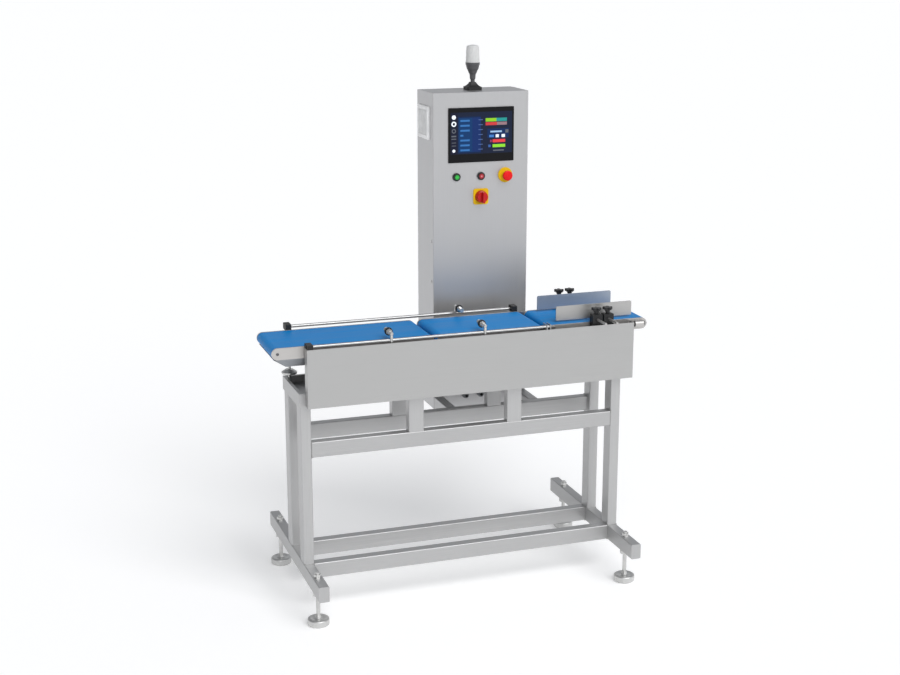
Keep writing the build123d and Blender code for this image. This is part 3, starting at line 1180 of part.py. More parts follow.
def beacon_lens():
    """A ribbed lens with a domed top, hollow below."""
    bottom = CABINET_TOP + BEACON_PLINTH + BEACON_FLARE + BEACON_BODY_HEIGHT
    shoulder = 0.86 * LENS_HEIGHT
    profile = make_face(
        Polyline((0, 0, 0), (LENS_RADIUS, 0, 0), (LENS_TOP_RADIUS, 0, shoulder))
        + Spline((LENS_TOP_RADIUS, 0, shoulder), (0.7 * LENS_TOP_RADIUS, 0, 0.96 * LENS_HEIGHT),
                 (0, 0, LENS_HEIGHT), tangents=[(0, 0, 1), (-1, 0, 0)])
        + Line((0, 0, LENS_HEIGHT), (0, 0, 0))
    )
    lens = revolve(profile, axis=Axis.Z)
    inside = turned([(0, -CUT), (LENS_RADIUS - LENS_WALL, -CUT), (LENS_TOP_RADIUS - LENS_WALL, shoulder), (0, shoulder)])
    lens -= inside
    lean = LENS_RADIUS - LENS_TOP_RADIUS
    for turn in range(LENS_RIBS):
        angle = 360 * turn / LENS_RIBS
        foot = Pos(LENS_RADIUS - 0.3, 0, 0) * Circle(LENS_RIB_RADIUS)
        head = Pos(LENS_RADIUS - 0.3 - lean * 0.9, 0, 0.9 * shoulder) * Circle(LENS_RIB_RADIUS)
        lens += Rot(0, 0, angle) * loft([foot, head])
    return [Pos(CABINET_X, beacon_y(), bottom) * lens]


def all_nodes():
    """Every sub-part by name."""
    nodes = {
        "foot_bars": foot_bars(),
        "uprights": uprights() + short_posts(),
        "cross_rails": cross_rails(),
        "cabinet_arms": cabinet_arms(),
        "top_tray": top_tray(),
        "foot_nuts": foot_nuts(),
        "roller_axles": roller_axles(),
        "conveyor_pans": conveyor_pans(),
        "conveyor_feet": conveyor_feet(),
        "weigh_cell": weigh_cell(),
        "front_cover": front_cover(),
        "guide_rods": guide_rods(),
        "clamp_blocks": clamp_blocks(),
        "guide_plate_front": guide_plate(-1),
        "guide_plate_rear": guide_plate(1),
        "sensor_infeed": sensor(INFEED_SENSOR_X, -1),
        "sensor_weigh_front": sensor(WEIGH_SENSOR_X, -1),
        "sensor_weigh_rear": sensor(WEIGH_SENSOR_X, 1),
        "cabinet_shell": cabinet_shell(),
        "cabinet_door": cabinet_door(),
        "door_hinges": door_hinges(),
        "door_lock": door_lock(),
        "mounting_plate": mounting_plate(),
        "control_gear": control_gear(),
        "filter_frame": filter_frame(),
        "filter_mat": filter_mat(),
        "hmi_housing": hmi_housing(),
        "hmi_screen": hmi_screen(),
        "button_collars": button_collars(),
        "green_button": push_button(CABINET_X - BUTTON_SPACING),
        "red_button": push_button(CABINET_X),
        "estop_base": estop_base(),
        "estop_button": estop_button(),
        "switch_plate": switch_plate(),
        "switch_knob": switch_knob(),
        "cable_glands": cable_glands(),
        "side_screws": side_screws(),
        "beacon_base": beacon_base(),
        "beacon_body": beacon_body(),
        "beacon_lens": beacon_lens(),
    }
    for name, (start, length) in zip(("infeed", "weigh", "outfeed"), conveyors()):
        nodes[name + "_frame"] = conveyor_frame(start, length)
        nodes[name + "_belt"] = conveyor_belt(start, length)
        nodes[name + "_roller_left"] = roller(start)
        nodes[name + "_roller_right"] = roller(start + length)
    nodes["outfeed_frame"] += belt_tensioners()
    for place, x, y in foot_places():
        nodes["levelling_foot_" + place] = levelling_foot(x, y)
    for place, x, y in knob_places():
        nodes["star_knob_" + place] = star_knob(x, y)
    return nodes


def main():
    """Write one file for each sub-part, moved so that the origin is under the outline's middle."""
    os.makedirs("parts", exist_ok=True)
    for name, shapes in all_nodes().items():
        solids = [solid for shape in shapes for solid in shape.solids()]
        placed = [Pos(-ORIGIN_X, -ORIGIN_Y, 0) * solid for solid in solids]
        whole = placed[0] if len(placed) == 1 else Compound(children=placed)
        whole.label = name
        export_step(whole, "parts/" + name + ".step")
        print(name, len(placed))


main()
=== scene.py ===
# %% [markdown]
# # Dressing a checkweigher
# A checkweigher weighs every pack on a packing line while it runs past. This one is a stand of welded
# stainless tube with a sheet tray on top, three short belt conveyors in a row, and a tall cabinet behind.
# The measured model is already packed and is loaded as a fixed frame: we never move or resize it.
# Our work is the finish of every surface, the small fittings, the light and the camera.

# %% Load the measured model
import bpy
from math import pi, radians
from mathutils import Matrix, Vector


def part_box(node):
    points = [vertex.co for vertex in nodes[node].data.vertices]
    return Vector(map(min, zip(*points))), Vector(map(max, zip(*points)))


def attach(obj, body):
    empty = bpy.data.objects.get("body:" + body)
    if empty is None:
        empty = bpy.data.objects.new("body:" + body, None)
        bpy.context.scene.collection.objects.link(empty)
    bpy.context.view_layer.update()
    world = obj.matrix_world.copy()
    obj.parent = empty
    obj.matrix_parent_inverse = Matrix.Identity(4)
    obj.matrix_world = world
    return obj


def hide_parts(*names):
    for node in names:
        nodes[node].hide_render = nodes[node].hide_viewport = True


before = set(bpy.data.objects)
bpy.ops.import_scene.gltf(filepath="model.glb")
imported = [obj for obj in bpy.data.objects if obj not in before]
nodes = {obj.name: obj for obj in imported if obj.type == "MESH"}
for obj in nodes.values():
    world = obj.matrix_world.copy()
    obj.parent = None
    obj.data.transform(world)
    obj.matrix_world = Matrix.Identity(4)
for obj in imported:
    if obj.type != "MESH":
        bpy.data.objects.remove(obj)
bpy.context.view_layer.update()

# %% Work with the same clean state before every tool
MM = 0.001


def deselect():
    """Leave edit mode and select nothing, so the next tool acts on the new piece only."""
    if bpy.context.object and bpy.context.object.mode != "OBJECT":
        bpy.ops.object.mode_set(mode="OBJECT")
    bpy.ops.object.select_all(action="DESELECT")


deselect()
print("selected after loading:", len(bpy.context.selected_objects))

# %% [markdown]
# ## The camera
# The picture is taken from the left front, a little above the belts, with a fairly long lens.
# A camera can be aimed by a constraint or by its own turn. Here the turn is set directly, because a fixed
# angle gives the same picture on every run. The angles come from the lines of the stand that run away
# to the right and to the back.

# %% Place the camera
CAMERA_PLACE = (-1.8702, -5.4260, 2.4587)
CAMERA_DOWN = 14.48
CAMERA_RIGHT = 19.02
CAMERA_TURN = (radians(90 - CAMERA_DOWN), 0, radians(-CAMERA_RIGHT))
bpy.ops.object.camera_add(location=CAMERA_PLACE, rotation=CAMERA_TURN)
camera = bpy.context.object
camera.name = "studio_camera"
camera.data.lens = 60.73
camera.data.sensor_width = 36
camera.data.clip_end = 400
bpy.context.scene.camera = camera
print("camera at", CAMERA_PLACE, "lens", camera.data.lens)

# %% [markdown]
# ## Floor and light
# Polished and brushed steel is mostly a mirror of the room, so the room decides how it looks. The upright
# faces of this machine are light and its level faces are darker: the room is bright at the height of the
# machine and dimmer overhead. A world shader with a soft gradient gives that room, and one wide sun gives
# the soft shadow on the floor. Many lamps would put many bright spots on the tubes. The room's left side is
# dimmer, so the left faces read darker than the front ones, and the floor glows a little to stay white.

# %% Lay the floor
deselect()
bpy.ops.mesh.primitive_plane_add(size=160, location=(0, 40, -0.0005))
floor = bpy.context.object
floor.name = "studio_floor"
floor_paint = bpy.data.materials.new("studio_floor")
floor_paint.use_nodes = True
floor_shader = floor_paint.node_tree.nodes["Principled BSDF"]
floor_shader.inputs["Base Color"].default_value = (0.9, 0.9, 0.9, 1)
floor_shader.inputs["Roughness"].default_value = 0.9
floor_shader.inputs["Specular IOR Level"].default_value = 0.1
floor_shader.inputs["Emission Color"].default_value = (1, 1, 1, 1)
floor_shader.inputs["Emission Strength"].default_value = 0.22
floor.data.materials.append(floor_paint)
print("floor laid:", floor.dimensions[:])

# %% Light the room
ROOM_LOW = (0.95, 0.95, 0.96, 1)
ROOM_MIDDLE = (0.62, 0.63, 0.65, 1)
ROOM_TOP = (0.30, 0.31, 0.33, 1)
world = bpy.data.worlds.new("studio_room")
bpy.context.scene.world = world
world.use_nodes = True
room = world.node_tree
background = room.nodes["Background"]
direction = room.nodes.new("ShaderNodeTexCoord")
split = room.nodes.new("ShaderNodeSeparateXYZ")
ramp = room.nodes.new("ShaderNodeValToRGB")
room.links.new(direction.outputs["Generated"], split.inputs[0])
room.links.new(split.outputs["Z"], ramp.inputs[0])
side = room.nodes.new("ShaderNodeMapRange")
side.inputs["From Min"].default_value = -0.9
side.inputs["From Max"].default_value = 0.1
side.inputs["To Min"].default_value = 0.54
side.inputs["To Max"].default_value = 1.0
dimmed = room.nodes.new("ShaderNodeVectorMath")
dimmed.operation = "SCALE"
room.links.new(split.outputs["X"], side.inputs["Value"])
room.links.new(ramp.outputs[0], dimmed.inputs[0])
room.links.new(side.outputs["Result"], dimmed.inputs["Scale"])
room.links.new(dimmed.outputs["Vector"], background.inputs["Color"])
ramp.color_ramp.elements[0].position = 0.0
ramp.color_ramp.elements[0].color = ROOM_LOW
ramp.color_ramp.elements[1].position = 0.75
ramp.color_ramp.elements[1].color = ROOM_TOP
ramp.color_ramp.elements.new(0.22).color = ROOM_MIDDLE
background.inputs["Strength"].default_value = 1.0

deselect()
bpy.ops.object.light_add(type="SUN", location=(1, -5, 6), rotation=(radians(44), 0, radians(10)))
sun = bpy.context.object
sun.name = "wide_sun"
sun.data.energy = 2.3
sun.data.angle = radians(50)
bpy.context.scene.view_settings.view_transform = "Standard"
print("room and sun are on")

# %% [markdown]
# ## How the finishes are built
# Every finish is a small node tree on the Principled shader. It starts from Object coordinates, because a
# pattern in metres then has the same size on every piece and stays put when a piece moves. A Mapping node
# stretches noise along one direction for a brushed grain, and the same noise drives colour, roughness and
# a very small bump, so that the three agree.

# %% Helpers for materials
AXES = {"X": 0, "Y": 1, "Z": 2}


def start_material(name):
    """A new material with its node tree, and the Principled shader in it."""
    material = bpy.data.materials.new(name)
    material.use_nodes = True
    tree = material.node_tree
    return material, tree, tree.nodes["Principled BSDF"]


def stretched_noise(tree, scale, detail=4.0, roughness=0.6):
    """Noise in object space with its own scale along X, Y and Z, in cells per metre."""
    place = tree.nodes.new("ShaderNodeTexCoord")
    mapping = tree.nodes.new("ShaderNodeMapping")
    noise = tree.nodes.new("ShaderNodeTexNoise")
    mapping.inputs["Scale"].default_value = scale
    noise.inputs["Scale"].default_value = 1.0
    noise.inputs["Detail"].default_value = detail
    noise.inputs["Roughness"].default_value = roughness
    tree.links.new(place.outputs["Object"], mapping.inputs["Vector"])
    tree.links.new(mapping.outputs["Vector"], noise.inputs["Vector"])
    return noise.outputs["Fac"]


def to_range(tree, value, low, high, start=0.3, end=0.7):
    """Spread a value over a range."""
    step = tree.nodes.new("ShaderNodeMapRange")
    step.inputs["From Min"].default_value = start
    step.inputs["From Max"].default_value = end
    step.inputs["To Min"].default_value = low
    step.inputs["To Max"].default_value = high
    tree.links.new(value, step.inputs["Value"])
    return step.outputs["Result"]


def blend_colours(tree, value, first, second):
    """A mix of two colours, or of colour outputs, by a value."""
    mix = tree.nodes.new("ShaderNodeMix")
    mix.data_type = "RGBA"
    tree.links.new(value, mix.inputs["Factor"])
    for socket, colour in ((mix.inputs["A"], first), (mix.inputs["B"], second)):
        if isinstance(colour, tuple):
            socket.default_value = (*colour, 1)
        else:
            tree.links.new(colour, socket)
    return mix.outputs["Result"]


def add_bump(tree, shader, value, height, strength=1.0):
    """A bump of the given height in metres."""
    bump = tree.nodes.new("ShaderNodeBump")
    bump.inputs["Strength"].default_value = strength
    bump.inputs["Distance"].default_value = height
    tree.links.new(value, bump.inputs["Height"])
    tree.links.new(bump.outputs["Normal"], shader.inputs["Normal"])


print("material helpers ready")

# %% [markdown]
# ## Brushed stainless steel
# The sheet and tube are brushed along their length, so the grain is long thin streaks. The grain is
# stretched noise: a few cells per metre along the brush, and hundreds across it. A second, slow noise makes
# the faint clouds that handling and cleaning leave on such steel.

# %% Brushed steel along a chosen direction


def brushed_steel(name, colour, along, rough=0.44, contrast=0.10, metal=0.86):
    """Stainless steel brushed along X, Y or Z."""
    material, tree, shader = start_material(name)
    scale = [420.0, 420.0, 420.0]
    scale[AXES[along]] = 5.0
    grain = stretched_noise(tree, scale, detail=3.0)
    clouds = stretched_noise(tree, (3.0, 3.0, 3.0), detail=3.0)
    dark = tuple(c * (1 - contrast) for c in colour)
    light = tuple(min(1.0, c * (1 + 0.5 * contrast)) for c in colour)
    streaks = blend_colours(tree, to_range(tree, grain, 0, 1), dark, light)
    veil = tuple(c * (1 - 0.6 * contrast) for c in colour)
    clouded = blend_colours(tree, to_range(tree, clouds, 0, 0.6), streaks, veil)
    tree.links.new(clouded, shader.inputs["Base Color"])
    shader.inputs["Metallic"].default_value = metal
    tree.links.new(to_range(tree, grain, rough - 0.06, rough + 0.08), shader.inputs["Roughness"])
    add_bump(tree, shader, grain, 0.00004)
    return material


tube_x = brushed_steel("steel_brushed_along_x", (0.50, 0.50, 0.50), "X")
tube_y = brushed_steel("steel_brushed_along_y", (0.50, 0.50, 0.50), "Y")
tube_z = brushed_steel("steel_brushed_along_z", (0.52, 0.52, 0.52), "Z")
sheet_steel = brushed_steel("cover_steel", (0.475, 0.475, 0.47), "X", 0.42, 0.05)
cabinet_steel = brushed_steel("cabinet_steel", (0.51, 0.51, 0.515), "Z", 0.42, 0.05, 0.92)
side_plate_steel = brushed_steel("side_plate_steel", (0.56, 0.545, 0.53), "X", 0.40, 0.08)
# The conveyor pans get a darker, bluer copy of the side-plate steel: painted shade under the side plates.
pan_steel_painted_shade = brushed_steel("pan_steel_painted_shade", (0.34, 0.355, 0.38), "X", 0.40, 0.08)
# The rear guide plate gets a darker, bluer copy of the front guide's steel: painted shade and a painted blue
# reflection of the belts.
rear_guide_steel_painted_shade = brushed_steel("rear_guide_steel_painted_shade", (0.38, 0.42, 0.475), "X", 0.44, 0.06, 0.7)
front_guide_steel = brushed_steel("front_guide_steel", (0.49, 0.485, 0.475), "X", 0.42, 0.06, 0.8)
print("brushed steels:", 9)

# %% [markdown]
# ## Bright steel and aluminium
# Rods, screws and levelling feet are turned or polished, so they are smoother and show a fine ring grain
# instead of long streaks. Plain noise at two sizes is enough at this scale: a fine one for the machining
# marks and a slow one for finger marks.

# %% Turned and polished metal


def bright_metal(name, colour, rough, fine=900.0):
    """Turned metal with fine marks and faint finger marks."""
    material, tree, shader = start_material(name)
    marks = stretched_noise(tree, (fine, fine, fine), detail=2.0)
    smears = stretched_noise(tree, (38.0, 38.0, 38.0), detail=4.0)
    dull = tuple(c * 0.86 for c in colour)
    smeared = blend_colours(tree, to_range(tree, smears, 0, 0.7), colour, dull)
    tree.links.new(smeared, shader.inputs["Base Color"])
    shader.inputs["Metallic"].default_value = 1.0
    tree.links.new(to_range(tree, smears, rough, rough + 0.12), shader.inputs["Roughness"])
    add_bump(tree, shader, marks, 0.00002)
    return material


polished_rod = bright_metal("polished_rod_steel", (0.44, 0.44, 0.44), 0.30)
fastener = bright_metal("fastener_steel", (0.62, 0.62, 0.61), 0.26)
foot_steel = bright_metal("foot_steel", (0.66, 0.66, 0.65), 0.38)
turned_aluminium = bright_metal("turned_aluminium", (0.72, 0.73, 0.74), 0.32)
dark_screw = bright_metal("blackened_screw", (0.16, 0.16, 0.165), 0.34)
milled_aluminium = bright_metal("milled_aluminium", (0.66, 0.67, 0.69), 0.38, 1500.0)
print("bright metals:", 6)

# %% [markdown]
# ## Moulded plastics
# Moulded plastic is never quite even: the mould leaves a fine grain, and the surface dulls where it is
# touched. A fine noise gives the grain as bump, and a slow one shifts the colour and gloss a little.

# %% Moulded plastic


def moulded(name, colour, rough, grain=1400.0, height=0.00003, gloss_coat=0.0, shine=0.4):
    """Plastic with mould grain and a slight change of tone."""
    material, tree, shader = start_material(name)
    fine = stretched_noise(tree, (grain, grain, grain), detail=2.0)
    slow = stretched_noise(tree, (24.0, 24.0, 24.0), detail=3.0)
    shade = tuple(c * 0.82 for c in colour)
    shaded = blend_colours(tree, to_range(tree, slow, 0, 0.8), colour, shade)
    tree.links.new(shaded, shader.inputs["Base Color"])
    tree.links.new(to_range(tree, slow, rough, min(1.0, rough + 0.12)), shader.inputs["Roughness"])
    shader.inputs["Coat Weight"].default_value = gloss_coat
    shader.inputs["Specular IOR Level"].default_value = shine
    shader.inputs["Coat Roughness"].default_value = 0.08
    add_bump(tree, shader, fine, height)
    return material


black_plastic = moulded("black_plastic", (0.012, 0.012, 0.013), 0.46)
bezel_plastic = moulded("bezel_plastic", (0.006, 0.006, 0.007), 0.5, shine=0.15)
collar_plastic = moulded("collar_plastic", (0.014, 0.013, 0.013), 0.3)
gland_plastic = moulded("gland_plastic", (0.20, 0.21, 0.22), 0.45)
beacon_grey = moulded("beacon_grey", (0.085, 0.085, 0.09), 0.28, grain=420.0, height=0.0002)
filter_plastic = moulded("filter_plastic", (0.96, 0.96, 0.95), 0.42)
device_plastic = moulded("device_plastic", (0.35, 0.37, 0.39), 0.5)
stop_red = moulded("stop_red", (0.78, 0.004, 0.006), 0.34, gloss_coat=0.1, shine=0.2)
switch_red = moulded("switch_red", (0.52, 0.004, 0.005), 0.30, gloss_coat=0.2, shine=0.25)
warning_yellow = moulded("plate_yellow", (0.80, 0.50, 0.004), 0.40, shine=0.2)
print("plastics:", 10)


# %% Button caps, darker at the rim than in the middle: painted shade at the rim, a painted highlight at the centre
def button_cap(name, node, shaded_rim, middle, highlight_spot, highlight_radius):
    """A cap whose colour changes with the distance from the button's own axis: painted shade at the rim and a
    painted highlight at the centre.
    """
    material, tree, shader = start_material(name)
    low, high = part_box(node)
    place = tree.nodes.new("ShaderNodeTexCoord")
    shifted = tree.nodes.new("ShaderNodeMapping")
    shifted.inputs["Location"].default_value = (-(low[0] + high[0]) / 2, 0, -(low[2] + high[2]) / 2)
    shifted.inputs["Scale"].default_value = (1, 0, 1)
    length = tree.nodes.new("ShaderNodeVectorMath")
    length.operation = "LENGTH"
    tree.links.new(place.outputs["Object"], shifted.inputs["Vector"])
    tree.links.new(shifted.outputs["Vector"], length.inputs[0])
    away = length.outputs["Value"]
    radius = (high[0] - low[0]) / 2
    # Painted shade: the cap darkens towards its rim.
    rim_shaded = blend_colours(tree, to_range(tree, away, 0, 1, 0.62 * radius, 0.86 * radius), middle, shaded_rim)
    # Painted highlight: a pale spot at the centre of the cap.
    painted = blend_colours(tree, to_range(tree, away, 0, 1, highlight_radius * 0.8, highlight_radius), highlight_spot, rim_shaded)
    tree.links.new(painted, shader.inputs["Base Color"])
    slow = stretched_noise(tree, (60.0, 60.0, 60.0), detail=3.0)
    tree.links.new(to_range(tree, slow, 0.22, 0.34), shader.inputs["Roughness"])
    shader.inputs["Coat Weight"].default_value = 0.3
    shader.inputs["Coat Roughness"].default_value = 0.06
    add_bump(tree, shader, stretched_noise(tree, (1400.0, 1400.0, 1400.0), detail=2.0), 0.00003)
    return material


# Each call gives the painted shade colour at the rim, the cap's own colour, then the painted highlight colour
# and its radius.
green_plastic = button_cap("green_cap", "green_button", (0.0, 0.09, 0.012), (0.005, 0.42, 0.03),
                           (0.02, 0.55, 0.06), 0.002)
red_plastic = button_cap("red_cap", "red_button", (0.16, 0.004, 0.008), (0.42, 0.01, 0.02),
                         (0.60, 0.22, 0.24), 0.0035)
print("button caps: 2")

# %% [markdown]
# ## The belts
# The belts are blue coated fabric, smooth on top with a very fine weave under the coating. A wave pattern
# across and along would look woven, but at this distance only a soft sheen and slight cloudiness show, so
# the weave stays in a tiny bump.

# %% Blue belt


def belt_material():
    """Blue belt coating with a faint weave and wear along the run."""
    material, tree, shader = start_material("blue_belt")
    weave = stretched_noise(tree, (1500.0, 1500.0, 1500.0), detail=1.0)
    wear = stretched_noise(tree, (2.2, 26.0, 8.0), detail=5.0)
    worn = blend_colours(tree, to_range(tree, wear, 0, 1), (0.002, 0.190, 0.52), (0.005, 0.235, 0.61))
    tree.links.new(worn, shader.inputs["Base Color"])
    tree.links.new(to_range(tree, wear, 0.34, 0.5), shader.inputs["Roughness"])
    shader.inputs["Specular IOR Level"].default_value = 0.08
    add_bump(tree, shader, weave, 0.00005)
    return material


blue_belt = belt_material()
print("belt:", blue_belt.name)

# %% [markdown]
# ## The beacon's lens
# The lens is frosted plastic with upright ribs. Real frosting scatters light inside the wall. Transmission
# with a rough surface does the same, and a pale base colour keeps it from going dark where the room is dim.

# %% Frosted lens


def frosted_lens():
    """Milky clear plastic."""
    material, tree, shader = start_material("frosted_lens")
    cloud = stretched_noise(tree, (220.0, 220.0, 60.0), detail=3.0)
    tint = blend_colours(tree, to_range(tree, cloud, 0, 1), (0.90, 0.90, 0.89), (0.76, 0.77, 0.77))
    tree.links.new(tint, shader.inputs["Base Color"])
    tree.links.new(to_range(tree, cloud, 0.28, 0.42), shader.inputs["Roughness"])
    shader.inputs["Transmission Weight"].default_value = 0.35
    shader.inputs["IOR"].default_value = 1.49
    add_bump(tree, shader, cloud, 0.00006)
    return material


lens_plastic = frosted_lens()
print("lens:", lens_plastic.name)

# %% [markdown]
# ## The filter mat
# A cut piece of grey fleece. Its fibres cross at random, which coarse and fine noise together imitate.

# %% Fleece


def fleece():
    """Grey filter fleece."""
    material, tree, shader = start_material("filter_fleece")
    fibres = stretched_noise(tree, (900.0, 900.0, 900.0), detail=6.0, roughness=0.8)
    tone = blend_colours(tree, to_range(tree, fibres, 0, 1), (0.24, 0.24, 0.24), (0.40, 0.40, 0.40))
    tree.links.new(tone, shader.inputs["Base Color"])
    shader.inputs["Roughness"].default_value = 0.95
    shader.inputs["Sheen Weight"].default_value = 0.3
    add_bump(tree, shader, fibres, 0.0006)
    return material


filter_fleece = fleece()
print("fleece:", filter_fleece.name)

# %% [markdown]
# ## The screen's picture
# The touch screen shows a plain operating page: a column of round buttons on the left, a list of values in
# the middle, and bars and fields on the right. It carries no words. Each field is a rectangle in the
# screen's own X and Z, made from two comparisons, and each round button is a disc, so the picture is sharp
# at any distance and needs no image. It glows a little, as a lit display does.

# %% Build the screen's picture
SCREEN_LOW, SCREEN_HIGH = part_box("hmi_screen")
SCREEN_WIDTH = SCREEN_HIGH[0] - SCREEN_LOW[0]
SCREEN_TALL = SCREEN_HIGH[2] - SCREEN_LOW[2]


def math_node(tree, operation, first, second=None):
    """One math node on values or sockets."""
    node = tree.nodes.new("ShaderNodeMath")
    node.operation = operation
    for socket, value in zip(node.inputs, (first, second)):
        if value is None:
            continue
        if isinstance(value, (int, float)):
            socket.default_value = value
        else:
            tree.links.new(value, socket)
    return node.outputs[0]


def rectangle(tree, across, up, left, right, bottom, top):
    """One inside the rectangle and zero outside, in shares of the screen."""
    inside_x = math_node(tree, "COMPARE", across, (left + right) / 2)
    inside_x.node.inputs[2].default_value = (right - left) / 2
    inside_z = math_node(tree, "COMPARE", up, (bottom + top) / 2)
    inside_z.node.inputs[2].default_value = (top - bottom) / 2
    return math_node(tree, "MULTIPLY", inside_x, inside_z)


NIGHT = (0.006, 0.008, 0.020)
GREY_BLUE = (0.010, 0.015, 0.036)
WHITE = (0.80, 0.84, 0.90)
PILL_BLUE = (0.036, 0.150, 0.390)
VALUE_BLUE = (0.070, 0.120, 0.270)
LIME = (0.24, 0.52, 0.02)
TEAL = (0.02, 0.26, 0.24)
RED_BAR = (0.52, 0.045, 0.045)
MAUVE = (0.26, 0.16, 0.18)
DIM = (0.11, 0.12, 0.14)
FIELDS = [
    (0.000, 0.115, 0.000, 1.000, (0.010, 0.012, 0.028)),
    (0.115, 0.490, 0.020, 0.900, (0.006, 0.018, 0.062)),
    (0.130, 0.350, 0.050, 0.870, (0.006, 0.036, 0.120)),
    (0.350, 0.490, 0.050, 0.870, (0.008, 0.026, 0.115)),
    (0.566, 0.742, 0.762, 0.844, LIME),
    (0.742, 0.914, 0.762, 0.844, TEAL),
    (0.566, 0.752, 0.673, 0.747, RED_BAR),
    (0.752, 0.914, 0.673, 0.747, MAUVE),
    (0.595, 0.945, 0.365, 0.590, (0.006, 0.022, 0.085)),
    (0.645, 0.833, 0.497, 0.537, (0.30, 0.46, 0.66)),
    (0.890, 0.940, 0.480, 0.560, DIM),
    (0.626, 0.702, 0.382, 0.442, (0.05, 0.18, 0.50)),
    (0.732, 0.783, 0.375, 0.449, WHITE),
    (0.828, 0.884, 0.375, 0.449, WHITE),
    (0.682, 0.889, 0.256, 0.330, (0.68, 0.045, 0.055)),
    (0.641, 0.667, 0.262, 0.322, (0.24, 0.04, 0.12)),
    (0.682, 0.889, 0.137, 0.211, (0.24, 0.62, 0.03)),
    (0.612, 0.650, 0.145, 0.205, (0.04, 0.11, 0.32)),
    (0.690, 0.868, 0.048, 0.078, DIM),
    (0.012, 0.090, 0.360, 0.382, DIM),
    (0.012, 0.090, 0.420, 0.452, DIM),
    (0.018, 0.086, 0.200, 0.216, DIM),
    (0.018, 0.086, 0.272, 0.288, DIM),
]
for row, level in enumerate((0.800, 0.683, 0.565, 0.447, 0.330, 0.212, 0.095)):
    FIELDS.append((0.157, 0.205 if row == 3 else 0.308, level - 0.022, level + 0.022, PILL_BLUE))
    FIELDS.append((0.450, 0.520, level + 0.002, level + 0.020, VALUE_BLUE))
DISCS = [
    (0.052, 0.888, 0.033, WHITE),
    (0.052, 0.728, 0.040, WHITE),
    (0.052, 0.728, 0.020, NIGHT),
    (0.052, 0.560, 0.034, DIM),
    (0.052, 0.560, 0.020, (0.010, 0.012, 0.028)),
    (0.052, 0.085, 0.024, WHITE),
]


def disc(tree, across, up, centre, level, radius):
    """One inside a circle and zero outside, with the radius as a share of the width."""
    flat = math_node(tree, "SUBTRACT", across, centre)
    tall = math_node(tree, "MULTIPLY", math_node(tree, "SUBTRACT", up, level), SCREEN_TALL / SCREEN_WIDTH)
    squares = math_node(tree, "ADD", math_node(tree, "POWER", math_node(tree, "ABSOLUTE", flat), 2.0),
                        math_node(tree, "POWER", math_node(tree, "ABSOLUTE", tall), 2.0))
    return math_node(tree, "LESS_THAN", squares, radius ** 2)


def screen_material():
    """A display page from plain rectangles."""
    material, tree, shader = start_material("display_page")
    place = tree.nodes.new("ShaderNodeTexCoord")
    split = tree.nodes.new("ShaderNodeSeparateXYZ")
    tree.links.new(place.outputs["Object"], split.inputs[0])
    across = to_range(tree, split.outputs["X"], 0, 1, SCREEN_LOW[0], SCREEN_HIGH[0])
    up = to_range(tree, split.outputs["Z"], 0, 1, SCREEN_LOW[2], SCREEN_HIGH[2])
    picture = GREY_BLUE
    for left, right, bottom, top, colour in FIELDS:
        mask = rectangle(tree, across, up, left, right, bottom, top)
        picture = blend_colours(tree, mask, picture, colour)
    for centre, level, radius, colour in DISCS:
        picture = blend_colours(tree, disc(tree, across, up, centre, level, radius), picture, colour)
    tree.links.new(picture, shader.inputs["Base Color"])
    tree.links.new(picture, shader.inputs["Emission Color"])
    shader.inputs["Emission Strength"].default_value = 0.12
    shader.inputs["Specular IOR Level"].default_value = 0.12
    shader.inputs["Roughness"].default_value = 0.35
    return material


display_page = screen_material()
print("screen:", round(SCREEN_WIDTH, 4), "x", round(SCREEN_TALL, 4), "m")
print("fields:", len(FIELDS), "discs:", len(DISCS))

# %% [markdown]
# ## Collars under the star knobs
# Each star knob is black plastic, moulded on a short steel bush that stays bright where it meets the clamp.
# The measured piece is one body, so the bush could be a second piece laid over it. A height mask in the
# material is simpler: below the hub the shader is steel, and above it plastic. The mask reads the height in
# the piece's own coordinates, so it turns with the knob.

# %% Plastic knob with a steel bush
KNOB_LOW, KNOB_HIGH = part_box("star_knob_front_left")
BUSH_TOP = KNOB_LOW[2] + 7 * MM


def two_parts(name, below, above, axis, level, soft=0.0004):
    """A material that changes from one finish to another at a place along an axis."""
    material, tree, shader = start_material(name)
    place = tree.nodes.new("ShaderNodeTexCoord")
    split = tree.nodes.new("ShaderNodeSeparateXYZ")
    tree.links.new(place.outputs["Object"], split.inputs[0])
    mask = to_range(tree, split.outputs[axis], 0, 1, level - soft, level + soft)
    slow = to_range(tree, stretched_noise(tree, (30.0, 30.0, 30.0), detail=3.0), 0, 1)
    low = blend_colours(tree, slow, below["colour"], tuple(c * 0.82 for c in below["colour"]))
    high = blend_colours(tree, slow, above["colour"], tuple(c * 0.82 for c in above["colour"]))
    tree.links.new(blend_colours(tree, mask, low, high), shader.inputs["Base Color"])
    tree.links.new(to_range(tree, mask, below["metal"], above["metal"], 0, 1), shader.inputs["Metallic"])
    tree.links.new(to_range(tree, mask, below["rough"], above["rough"], 0, 1), shader.inputs["Roughness"])
    add_bump(tree, shader, stretched_noise(tree, (1300.0, 1300.0, 1300.0), detail=2.0), 0.00003)
    return material


STEEL_FINISH = {"colour": (0.66, 0.66, 0.65), "metal": 1.0, "rough": 0.25}
BLACK_FINISH = {"colour": (0.012, 0.012, 0.013), "metal": 0.0, "rough": 0.42}
knob_plastic = two_parts("star_knob_plastic", STEEL_FINISH, BLACK_FINISH, "Z", BUSH_TOP)
print("knob bush ends at", round(BUSH_TOP, 4), "m")

# %% [markdown]
# ## Dress the measured pieces
# Each measured piece keeps its mesh and only gets a finish. A dictionary from material to pieces keeps the
# choice in one place, so a missing piece is easy to see: the last cell counts what is left.

